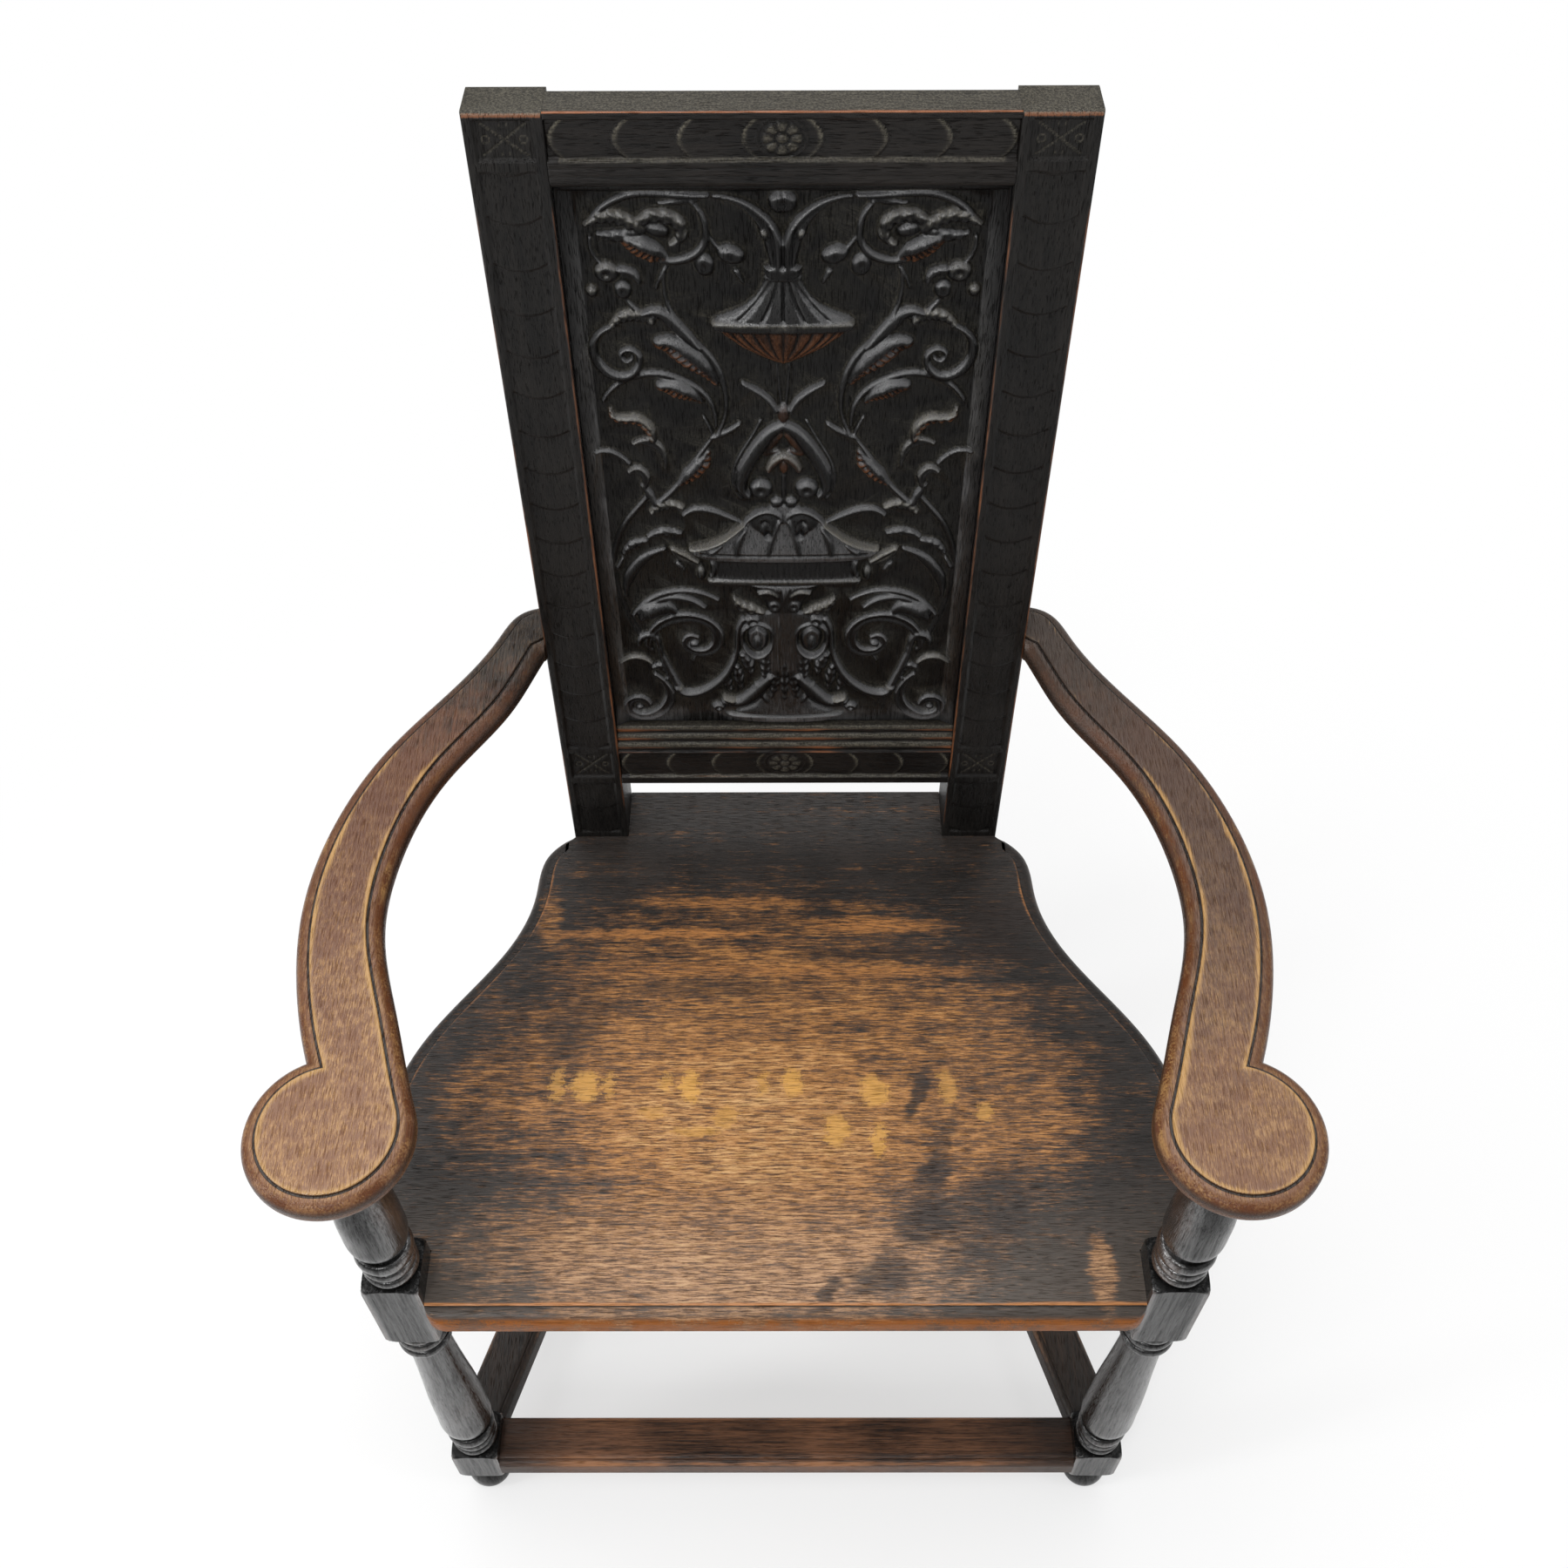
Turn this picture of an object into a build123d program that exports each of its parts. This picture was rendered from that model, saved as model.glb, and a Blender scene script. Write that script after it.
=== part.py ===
from build123d import *
import os
from math import atan2, cos, radians, sin, sqrt, tan

# A carved oak armchair: a panelled, slightly raked back on two long rear stiles, two turned front
# posts, a flared seat board, flat shaped arms that end in discs, and a low square of stretchers.
# Millimetres, +Z up, +X to the right of someone who faces the chair, +Y towards its back.
# While it is built, Y = 0 is the front face of the front posts. The finished pieces are then
# moved so that the origin is the middle of the chair's footprint on the floor.

# ---------------------------------------------------------------- driving dimensions
# Heights
seat_height = 460.0
seat_thickness = 22.0
arm_rise = 231.0
arm_thickness = 20.0
back_length = 638.0
rake_degrees = 2.2

# Front posts
post_section = 40.0
front_width = 581.0
seat_block_above = 23.0
seat_block_below = 51.0
foot_block_bottom = 46.0
foot_block_height = 54.0
post_edge_chamfer = 1.5

# Turnings. Rings are (height, radius at the root, radius at the crown) from the block outwards.
# Swellings are (share of the swelling's height, radius) from its foot up.
base_rings = [
    (3.0, 16.5, 16.5),
    (9.0, 16.5, 19.5),
    (2.0, 16.5, 16.5),
    (10.0, 16.5, 19.5),
    (2.0, 17.0, 17.0),
    (13.0, 17.0, 20.5),
    (3.0, 16.0, 16.0),
]
leg_cap_rings = [
    (3.0, 16.5, 16.5),
    (9.0, 16.5, 19.5),
    (2.0, 16.5, 16.5),
    (10.0, 16.5, 20.0),
    (2.0, 16.5, 16.5),
    (10.0, 16.5, 20.5),
    (3.0, 16.0, 16.0),
]
arm_cap_rings = [
    (3.0, 15.0, 15.0),
    (13.0, 15.0, 18.5),
    (2.0, 13.5, 13.5),
    (8.0, 13.5, 16.5),
    (3.0, 12.5, 12.5),
]
leg_swelling = [(0.0, 15.0), (0.04, 19.8), (0.16, 21.8), (0.34, 21.0), (0.6, 18.6), (0.85, 16.4), (1.0, 15.5)]
arm_swelling = [(0.0, 15.0), (0.07, 19.5), (0.24, 21.3), (0.47, 20.5), (0.75, 15.5), (1.0, 12.0)]
foot_swelling = [(0.0, 14.0), (0.15, 18.0), (0.42, 19.5), (0.74, 17.0), (1.0, 12.5)]
foot_neck_height = 3.0
foot_neck_radius = 12.5
foot_fillet_height = 4.0
foot_fillet_radius = 16.0

# Rear stiles
stile_width = 45.0
back_width = 354.0
stile_front_y = 402.0
stile_depth_at_seat = 47.0
stile_depth_at_top = 31.0
stile_top_round = 4.0
stile_foot_chamfer = 2.0

# Back frame and panel
back_rail_thickness = 24.5
top_rail_height = 47.0
bottom_rail_low_edge = 69.0
bottom_rail_height = 62.0
sill_height = 23.0
sill_depth = 7.0
sill_reeds = 3
reed_bulge = 1.2
top_rail_ovolo = 6.0
panel_recess = 7.0
panel_thickness = 12.0
panel_lip = 1.0
panel_tongue = 7.0
panel_in_groove = 7.0
panel_margin = 10.0
panel_sinking = 5.5
panel_gap = 0.2
panel_room = 1.0

# Sunk fields for the carving on the face of the back frame
field_depth = 3.0
field_side_margin = 6.0
top_field_height = 24.0
top_field_from_top = 5.0
low_field_height = 28.0
low_field_above_edge = 8.0
field_gap = 7.0
foot_field_low_edge = 6.0
foot_field_gap = 8.0

# Seat rails and stretchers
seat_rail_height = 46.0
seat_rail_thickness = 22.0
seat_rail_setback = 9.0
stretcher_low_face = 62.0
stretcher_thickness = 24.0
rear_rail_setback = 3.0
stretcher_proud = 2.0
stretcher_moulding = 6.0
stretcher_ovolo = 5.0
moulding_quirk = 1.3
curve_steps = 24
smallest_gap = 0.001

# Seat board. The points of its side curve are shares of two ways: outwards from the stile's outer
# face to the front corner, and forwards from the stile's front face to the back of the post.
seat_moulding = 10.5
seat_ovolo = 9.0
seat_tongue_play = 0.1
seat_corner_beyond_post = 8.5
seat_side = [
    (0.197, 0.0525),
    (0.238, 0.149),
    (0.352, 0.276),
    (0.598, 0.403),
    (0.857, 0.533),
    (1.0, 0.6685),
    (1.0245, 0.8065),
    (1.0, 1.0),
]

# Arm. The points of its two long curves are shares of two ways: outwards from the stile's outer
# face to the post's axis, and forwards from the stile's front face to the post's axis.
arm_disc_radius = 51.5
arm_moulding = 10.0
arm_ovolo = 8.5
arm_under_round = 7.0
disc_notch_angle = 65.0
disc_throat_angle = 160.0
arm_outer = [
    (0.246, -0.1075),
    (0.385, -0.0445),
    (0.642, 0.0705),
    (1.096, 0.2355),
    (1.358, 0.3875),
    (1.476, 0.5865),
    (1.39, 0.7515),
]
arm_inner = [
    (0.711, 0.7775),
    (0.882, 0.6205),
    (0.861, 0.474),
    (0.61, 0.284),
    (0.203, 0.1255),
]
arm_butt_in_front = 13.0
arm_butt_waste = 20.0

# Joints
tenon_length = 22.0
front_tenon_length = 20.0
side_tenon_length = 13.0
back_tenon_length = 30.0
tenon_thickness = 9.0
tenon_shoulder = 6.0
stretcher_tenon_width = 16.0
stretcher_tenon_thickness = 11.0
arm_tenon_width = 26.0
arm_tenon_thickness = 12.0
arm_tenon_length = 20.0
post_tenon_radius = 9.0
post_tenon_length = 12.0
tenon_play = 0.1
mortise_end_room = 1.0
peg_radius = 3.5
peg_play = 0.05
peg_skin = 6.0
peg_proud = 0.5

# Glue blocks under the seat board
glue_block_leg = 18.0
glue_block_length = 60.0
front_glue_blocks = 3
side_glue_blocks = 2

# ---------------------------------------------------------------- places worked out from them
rake = radians(rake_degrees)
post_axis_x = front_width / 2 - post_section / 2
post_axis_y = post_section / 2
post_inner_x = front_width / 2 - post_section
seat_under = seat_height - seat_thickness
seat_block_top = seat_height + seat_block_above
seat_block_bottom = seat_under - seat_block_below
foot_block_top = foot_block_bottom + foot_block_height
arm_top = seat_height + arm_rise
arm_under = arm_top - arm_thickness

stile_outer_x = back_width / 2
stile_inner_x = stile_outer_x - stile_width
stile_middle_x = stile_outer_x - stile_width / 2
stile_back_y = stile_front_y + stile_depth_at_seat

seat_rail_low = seat_under - seat_rail_height
stretcher_top = stretcher_low_face + stretcher_thickness
side_run = stile_front_y - post_section
side_lean = (post_axis_x - stile_middle_x) / side_run

panel_low = bottom_rail_low_edge + bottom_rail_height
panel_high = back_length - top_rail_height

front_reach = post_axis_y - arm_disc_radius
top_back_y = stile_front_y + back_length * sin(rake) + stile_depth_at_top * cos(rake)
back_reach = max(top_back_y, stile_back_y)
footprint_middle = (front_reach + back_reach) / 2

# The raked frame of the back: X across, Y into the back from its face, Z up along the face
back_frame = Location((0, stile_front_y, seat_height), (-rake_degrees, 0, 0))


# ---------------------------------------------------------------- shared shapes
def brick(x, y, z):
    """A box from its low and high X, Y and Z."""
    size = Box(x[1] - x[0], y[1] - y[0], z[1] - z[0], align=(Align.MIN, Align.MIN, Align.MIN))
    return Pos(x[0], y[0], z[0]) * size


def roomy(span, room):
    """A span that is wider by some room at both ends."""
    return (span[0] - room, span[1] + room)


def mirrored(shape):
    """The same piece for the other side of the chair."""
    return mirror(shape, about=Plane.YZ)


def both_sides(shapes):
    """Pieces of the right side with their twins on the left."""
    return list(shapes) + [mirrored(shape) for shape in shapes]


def rod(start, direction, length, radius):
    """A round rod from a start point along a direction."""
    return extrude(Plane(origin=start, z_dir=direction) * Circle(radius), amount=length)


def peg_hole(start, direction, length):
    """The drilled hole of a peg, a little longer and wider than the peg."""
    back_off = Vector(*start) - Vector(*direction).normalized() * peg_proud * 2
    return rod(back_off, direction, length + peg_proud * 2 + peg_play, peg_radius + peg_play)


def peg(start, direction, length):
    """A peg that stands a little proud of the face it was driven into."""
    proud_start = Vector(*start) - Vector(*direction).normalized() * peg_proud
    return rod(proud_start, direction, length + peg_proud, peg_radius)


def beside(curve, amount):
    """A smooth curve that runs beside another one, to its right-hand side by an amount."""
    if amount == 0:
        return curve
    points = []
    for step in range(curve_steps + 1):
        share = step / curve_steps
        way = curve % share
        points.append(curve @ share + Vector(way.Y, -way.X) * amount)
    return Spline(*points)


def closed_to(start, curve, end):
    """A curve with straight lines from a start point and on to an end point."""
    return [Line(start, curve @ 0), curve, Line(curve @ 1, end)]


def closed_plan(curves):
    """The face inside curves that follow each other, with straight lines over the gaps between."""
    edges = []
    for curve, following in zip(curves, curves[1:] + curves[:1]):
        edges.append(curve)
        if (following @ 0 - curve @ 1).length > smallest_gap:
            edges.append(Line(curve @ 1, following @ 0))
    return make_face(edges)


def stile_depth(height):
    """Depth of a stile at a height above the seat, measured up its raked face."""
    taper = (stile_depth_at_seat - stile_depth_at_top) / back_length
    return stile_depth_at_seat - taper * height


# ---------------------------------------------------------------- joints that two pieces share
# Each tenon is a span in X, Y and Z. Its mortise is the same span with play and end room added.
tenon_half = tenon_thickness / 2

front_rail_y = (seat_rail_setback, seat_rail_setback + seat_rail_thickness)
front_rail_middle_y = (front_rail_y[0] + front_rail_y[1]) / 2
rail_tenon_z = (seat_rail_low + tenon_shoulder, seat_under - tenon_shoulder)
front_rail_tenon_x = (post_inner_x, post_inner_x + front_tenon_length)
front_rail_tenon_y = (front_rail_middle_y - tenon_half, front_rail_middle_y + tenon_half)

side_front_tenon_x = (post_axis_x - tenon_half, post_axis_x + tenon_half)
side_front_tenon_y = (post_section - side_tenon_length, post_section)
side_rear_tenon_x = (stile_middle_x - tenon_half, stile_middle_x + tenon_half)
side_rear_tenon_y = (stile_front_y, stile_front_y + tenon_length)

rear_rail_y = (stile_back_y - rear_rail_setback - seat_rail_thickness, stile_back_y - rear_rail_setback)
rear_rail_middle_y = (rear_rail_y[0] + rear_rail_y[1]) / 2
rear_tenon_x = (stile_inner_x, stile_inner_x + tenon_length)
rear_tenon_y = (rear_rail_middle_y - tenon_half, rear_rail_middle_y + tenon_half)

stretcher_middle_z = (stretcher_low_face + stretcher_top) / 2
stretcher_tenon_z = (
    stretcher_middle_z - stretcher_tenon_thickness / 2,
    stretcher_middle_z + stretcher_tenon_thickness / 2,
)
stretcher_tenon_half = stretcher_tenon_width / 2
front_stretcher_tenon_x = (post_inner_x, post_inner_x + side_tenon_length)
front_stretcher_tenon_y = (post_axis_y - stretcher_tenon_width, post_axis_y)
side_stretcher_front_x = (post_axis_x - stretcher_tenon_half, post_axis_x + stretcher_tenon_half)
side_stretcher_rear_x = (stile_middle_x - stretcher_tenon_half, stile_middle_x + stretcher_tenon_half)
side_stretcher_rear_y = (stile_front_y, stile_front_y + side_tenon_length)
stile_middle_y = (stile_front_y + stile_back_y) / 2
rear_stretcher_y = (stile_middle_y - post_section / 2, stile_middle_y + post_section / 2)
rear_stretcher_tenon_x = (stile_inner_x, stile_inner_x + side_tenon_length)
rear_stretcher_tenon_y = (
    rear_stretcher_y[1] - stretcher_moulding - stretcher_tenon_width,
    rear_stretcher_y[1] - stretcher_moulding,
)

arm_middle_z = (arm_under + arm_top) / 2
arm_tenon_z = (arm_middle_z - arm_tenon_thickness / 2, arm_middle_z + arm_tenon_thickness / 2)
arm_level = (arm_middle_z - seat_height) / cos(rake)
arm_stile_front_y = stile_front_y + (arm_middle_z - seat_height) * tan(rake)
arm_stile_back_y = arm_stile_front_y + stile_depth(arm_level) / cos(rake)
arm_tenon_middle_y = (arm_stile_front_y + arm_stile_back_y) / 2
arm_tenon_y = (arm_tenon_middle_y - arm_tenon_width / 2, arm_tenon_middle_y + arm_tenon_width / 2)
arm_tenon_x = (stile_outer_x - arm_tenon_length, stile_outer_x)

# Spans in the raked frame of the back
groove_depth = (panel_recess + panel_lip, panel_recess + panel_lip + panel_tongue)
panel_half_width = stile_inner_x + panel_in_groove
back_tenon_x = (stile_inner_x, stile_inner_x + back_tenon_length)
back_tenon_depth = (groove_depth[0], groove_depth[0] + tenon_thickness)
top_tenon_z = (panel_high + panel_in_groove + tenon_shoulder, back_length - tenon_shoulder)
bottom_tenon_z = (bottom_rail_low_edge + tenon_shoulder, panel_low - panel_in_groove - tenon_shoulder)


def mortise(x, y, z, open_x=0.0, open_y=0.0):
    """The slot for a tenon. open_x and open_y say which end has the extra room, by their sign."""
    slot_x = roomy(x, tenon_play)
    slot_y = roomy(y, tenon_play)
    if open_x > 0:
        slot_x = (x[0], x[1] + mortise_end_room)
    if open_x < 0:
        slot_x = (x[0] - mortise_end_room, x[1])
    if open_y > 0:
        slot_y = (y[0], y[1] + mortise_end_room)
    if open_y < 0:
        slot_y = (y[0] - mortise_end_room, y[1])
    return brick(slot_x, slot_y, roomy(z, tenon_play))


# ---------------------------------------------------------------- pegs
# Each is a start point on the face it was driven into, a direction and a length.
def peg_heights(z):
    """Two pegs go through a deep tenon, a quarter of its height from its edges."""
    quarter = (z[1] - z[0]) / 4
    return (z[0] + quarter, z[1] - quarter)


def back_frame_peg_places():
    """Driven from behind, through the tenons of the two back rails, and stopped short of the face."""
    places = []
    for tenon_z in (top_tenon_z, bottom_tenon_z):
        for height in peg_heights(tenon_z):
            depth = stile_depth(height)
            start = back_frame * Pos(stile_inner_x + back_tenon_length / 2, depth, height)
            direction = (0, -cos(rake), sin(rake))
            places.append((tuple(start.position), direction, depth - peg_skin))
    return places


def side_rail_peg_places():
    """Driven through the outer face of the post and of the stile."""
    places = []
    for height in peg_heights(rail_tenon_z):
        post_start = (front_width / 2, post_section - side_tenon_length / 2, height)
        places.append((post_start, (-1, 0, 0), front_width / 2 - side_front_tenon_x[0] + peg_skin / 2))
        stile_start = (stile_outer_x, stile_front_y + tenon_length / 2, height)
        places.append((stile_start, (-1, 0, 0), stile_outer_x - side_rear_tenon_x[0] + peg_skin / 2))
    return places


def rear_rail_peg_places():
    """Driven from behind, through the tenons of the rear seat rail."""
    places = []
    for height in peg_heights(rail_tenon_z):
        start = (stile_inner_x + tenon_length / 2, stile_back_y, height)
        places.append((start, (0, -1, 0), stile_back_y - rear_tenon_y[0] + peg_skin / 2))
    return places


def stretcher_peg_places():
    """One through each tenon of the side stretchers and of the rear stretcher."""
    post_start = (front_width / 2, post_section - side_tenon_length / 2, stretcher_middle_z)
    post_length = front_width / 2 - side_stretcher_front_x[0] - peg_radius
    stile_start = (stile_outer_x, stile_front_y + side_tenon_length / 2, stretcher_middle_z)
    stile_length = stile_outer_x - side_stretcher_rear_x[0] - peg_radius
    rear_start = (stile_inner_x + side_tenon_length / 2, stile_back_y, stretcher_middle_z)
    rear_length = stile_back_y - rear_stretcher_tenon_y[0] - peg_radius
    return [
        (post_start, (-1, 0, 0), post_length),
        (stile_start, (-1, 0, 0), stile_length),
        (rear_start, (0, -1, 0), rear_length),
    ]


def arm_peg_places():
    """Driven from behind, through the stile and the arm's rear tenon."""
    start = (stile_outer_x - arm_tenon_length / 2, arm_stile_back_y, arm_middle_z)
    return [(start, (0, -1, 0), arm_stile_back_y - arm_tenon_y[0] - peg_radius)]


def pegs(places):
    """The pegs at these places and at their twins on the left side."""
    return both_sides([peg(*place) for place in places])


def drilled(piece, places):
    """A piece of the right side with the holes of its pegs."""
    for place in places:
        piece -= peg_hole(*place)
    return piece


# ---------------------------------------------------------------- back: stiles, rails and panel
def stile_profile():
    """The stile seen from the side: an upright leg, then the raked and tapered back."""
    top_front_y = stile_front_y + back_length * sin(rake)
    top_front_z = seat_height + back_length * cos(rake)
    top_back_z = top_front_z - stile_depth_at_top * sin(rake)
    return Plane.YZ * make_face(
        Polyline(
            (stile_front_y, 0),
            (stile_front_y, seat_height),
            (top_front_y, top_front_z),
            (top_back_y, top_back_z),
            (stile_back_y, seat_height),
            (stile_back_y, 0),
            close=True,
        )
    )


def sunk_fields_of_stile():
    """The fields sunk into the stile's face: two squares, the long band and the foot of the back."""
    x = (stile_inner_x + field_side_margin, stile_outer_x - field_side_margin)
    top_high = back_length - top_field_from_top
    top_low = top_high - top_field_height
    low_low = bottom_rail_low_edge + low_field_above_edge
    low_high = low_low + low_field_height
    spans = [
        (top_low, top_high),
        (low_high + field_gap, top_low - field_gap),
        (low_low, low_high),
        (foot_field_low_edge, low_low - foot_field_gap),
    ]
    return [back_frame * brick(x, (0, field_depth), span) for span in spans]


def rear_stile():
    stile = Pos(stile_inner_x, 0, 0) * extrude(stile_profile(), amount=stile_width)
    stile = chamfer(stile.edges().group_by(Axis.Z)[0], stile_foot_chamfer)
    stile = fillet(stile.edges().filter_by(Axis.X).sort_by(Axis.Y)[-1], stile_top_round)
    for field in sunk_fields_of_stile():
        stile -= field
    groove_x = (stile_inner_x, panel_half_width + panel_room)
    groove_z = (panel_low - panel_in_groove - panel_room, panel_high + panel_in_groove + panel_room)
    groove = brick(groove_x, roomy(groove_depth, tenon_play), groove_z)
    stile -= back_frame * groove
    stile -= back_frame * mortise(back_tenon_x, back_tenon_depth, top_tenon_z, open_x=1)
    stile -= back_frame * mortise(back_tenon_x, back_tenon_depth, bottom_tenon_z, open_x=1)
    stile -= mortise(side_rear_tenon_x, side_rear_tenon_y, rail_tenon_z, open_y=1)
    stile -= mortise(rear_tenon_x, rear_tenon_y, rail_tenon_z, open_x=1)
    stile -= mortise(side_stretcher_rear_x, side_stretcher_rear_y, stretcher_tenon_z, open_y=1)
    stile -= mortise(rear_stretcher_tenon_x, rear_stretcher_tenon_y, stretcher_tenon_z, open_x=1)
    stile -= mortise(arm_tenon_x, arm_tenon_y, arm_tenon_z, open_x=-1)
    places = back_frame_peg_places() + side_rail_peg_places() + rear_rail_peg_places()
    return drilled(stile, places + stretcher_peg_places() + arm_peg_places())


def with_back_tenons(rail, tenon_z):
    """A back rail, in the raked frame, with a tenon at both ends and the holes of its pegs."""
    tenon = brick(roomy(back_tenon_x, 0), back_tenon_depth, tenon_z)
    rail = rail + tenon + mirrored(tenon)
    rail = back_frame * rail
    holes = [peg_hole(*place) for place in back_frame_peg_places()]
    for hole in both_sides(holes):
        rail -= hole
    return rail


def back_top_rail():
    span_x = (-stile_inner_x, stile_inner_x)
    rail = brick(span_x, (0, back_rail_thickness), (panel_high, back_length))
    low_front = rail.edges().filter_by(Axis.X).group_by(Axis.Z)[0].sort_by(Axis.Y)[0]
    rail = fillet(low_front, top_rail_ovolo)
    field_z = (back_length - top_field_from_top - top_field_height, back_length - top_field_from_top)
    rail -= brick(span_x, (0, field_depth), field_z)
    groove_z = (panel_high, panel_high + panel_in_groove + panel_room)
    rail -= brick(span_x, roomy(groove_depth, tenon_play), groove_z)
    return with_back_tenons(rail, top_tenon_z)


def reeded_sill_section():
    """The bottom rail from its end: a flat face below, and reeds that step back to the panel."""
    step_height = sill_height / sill_reeds
    step_depth = sill_depth / sill_reeds
    sill_low = panel_low - sill_height
    lines = [Line((back_rail_thickness, panel_low), (back_rail_thickness, bottom_rail_low_edge))]
    lines.append(Line((back_rail_thickness, bottom_rail_low_edge), (0, bottom_rail_low_edge)))
    lines.append(Line((0, bottom_rail_low_edge), (0, sill_low)))
    for reed in range(sill_reeds):
        low = sill_low + reed * step_height
        shallow = reed * step_depth
        deep = shallow + step_depth
        if reed == 0:
            lines.append(Line((0, low), (deep, low)))
        else:
            lines.append(Line((shallow, low), (deep, low)))
        crown = (deep - reed_bulge, low + step_height / 2)
        lines.append(ThreePointArc((deep, low), crown, (deep, low + step_height)))
    lines.append(Line((sill_depth, panel_low), (back_rail_thickness, panel_low)))
    return Plane.YZ * make_face(Curve() + lines)


def back_bottom_rail():
    rail = Pos(-stile_inner_x, 0, 0) * extrude(reeded_sill_section(), amount=2 * stile_inner_x)
    span_x = (-stile_inner_x, stile_inner_x)
    low = bottom_rail_low_edge + low_field_above_edge
    rail -= brick(span_x, (0, field_depth), (low, low + low_field_height))
    groove_z = (panel_low - panel_in_groove - panel_room, panel_low)
    rail -= brick(span_x, roomy(groove_depth, tenon_play), groove_z)
    return with_back_tenons(rail, bottom_tenon_z)


def back_panel():
    """A board with a flat margin and a sunk ground, thinned at its edges to fit the grooves."""
    sight = brick(
        (-stile_inner_x + panel_gap, stile_inner_x - panel_gap),
        (panel_recess, panel_recess + panel_thickness),
        (panel_low + panel_gap, panel_high - panel_gap),
    )
    tongue = brick(
        (-panel_half_width, panel_half_width),
        groove_depth,
        (panel_low - panel_in_groove, panel_high + panel_in_groove),
    )
    ground = brick(
        (-stile_inner_x + panel_margin, stile_inner_x - panel_margin),
        (panel_recess, panel_recess + panel_sinking),
        (panel_low + panel_gap, panel_high - panel_margin / 2),
    )
    return back_frame * (sight + tongue - ground)


# ---------------------------------------------------------------- front posts
def ring_lines(rings, start, step):
    """The outline of a stack of rings, from a height upwards (step 1) or downwards (step -1)."""
    lines = []
    level = start
    radius = rings[0][1]
    for height, root, crown in rings:
        if root != radius:
            lines.append(Line((radius, level), (root, level)))
        following = level + step * height
        if crown > root:
            lines.append(ThreePointArc((root, level), (crown, (level + following) / 2), (root, following)))
        else:
            lines.append(Line((root, level), (root, following)))
        level = following
        radius = root
    return lines, (radius, level)


def swelling_line(swelling, low, high):
    """The smooth outline of a swelling between two heights."""
    points = [(radius, low + share * (high - low)) for share, radius in swelling]
    return Spline(*points)


def turned(lines, low, high):
    """A solid turned about the Z axis from its outline, closed to the axis at both ends."""
    ends = [edge @ 0 for edge in lines] + [edge @ 1 for edge in lines]
    low_end = min(ends, key=lambda point: point.Y)
    high_end = max(ends, key=lambda point: point.Y)
    closing = [
        Line((0, low), (low_end.X, low)),
        Line((high_end.X, high), (0, high)),
        Line((0, high), (0, low)),
    ]
    return revolve(Plane.XZ * make_face(lines + closing), axis=Axis.Z)


def turned_between_blocks(swelling, cap_rings, low, high):
    """Base rings, a swelling and cap rings, as on the leg and on the arm support."""
    base, base_end = ring_lines(base_rings, low, 1)
    cap, cap_end = ring_lines(cap_rings, high, -1)
    middle = swelling_line(swelling, base_end[1], cap_end[1])
    lines = base + cap + [middle]
    if base_end[0] != swelling[0][1]:
        lines.append(Line(base_end, (swelling[0][1], base_end[1])))
    if cap_end[0] != swelling[-1][1]:
        lines.append(Line(cap_end, (swelling[-1][1], cap_end[1])))
    return turned(lines, low, high)


def turned_foot():
    bun_top = foot_block_bottom - foot_fillet_height - foot_neck_height
    neck_top = foot_block_bottom - foot_fillet_height
    lines = [
        swelling_line(foot_swelling, 0, bun_top),
        Line((foot_neck_radius, bun_top), (foot_neck_radius, neck_top)),
        Line((foot_neck_radius, neck_top), (foot_fillet_radius, neck_top)),
        Line((foot_fillet_radius, neck_top), (foot_fillet_radius, foot_block_bottom)),
    ]
    return turned(lines, 0, foot_block_bottom)


def post_block(low, high):
    half = post_section / 2
    block = brick((-half, half), (-half, half), (low, high))
    return chamfer(block.edges(), post_edge_chamfer)


def front_post():
    tenon = Pos(0, 0, arm_under) * Cylinder(
        post_tenon_radius, post_tenon_length, align=(Align.CENTER, Align.CENTER, Align.MIN)
    )
    post = turned_foot()
    post += post_block(foot_block_bottom, foot_block_top)
    post += turned_between_blocks(leg_swelling, leg_cap_rings, foot_block_top, seat_block_bottom)
    post += post_block(seat_block_bottom, seat_block_top)
    post += turned_between_blocks(arm_swelling, arm_cap_rings, seat_block_top, arm_under)
    post = Pos(post_axis_x, post_axis_y, 0) * (post + tenon)
    post -= mortise(front_rail_tenon_x, front_rail_tenon_y, rail_tenon_z, open_x=1)
    post -= mortise(side_front_tenon_x, side_front_tenon_y, rail_tenon_z, open_y=-1)
    post -= mortise(front_stretcher_tenon_x, front_stretcher_tenon_y, stretcher_tenon_z, open_x=1)
    post -= mortise(side_stretcher_front_x, side_front_tenon_y, stretcher_tenon_z, open_y=-1)
    return drilled(post, side_rail_peg_places() + stretcher_peg_places())


# ---------------------------------------------------------------- arms
def arm_point(outward, forward):
    """A point of the arm's plan from its two shares."""
    x = stile_outer_x + outward * (post_axis_x - stile_outer_x)
    return (x, stile_front_y - forward * (stile_front_y - post_axis_y))


def where_disc_meets(point, way, centre, radius):
    """Where a straight way from a point first meets a disc."""
    from_centre = point - centre
    along = from_centre.dot(way)
    run = -along - sqrt(along**2 - from_centre.length**2 + radius**2)
    return point + way * run


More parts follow.
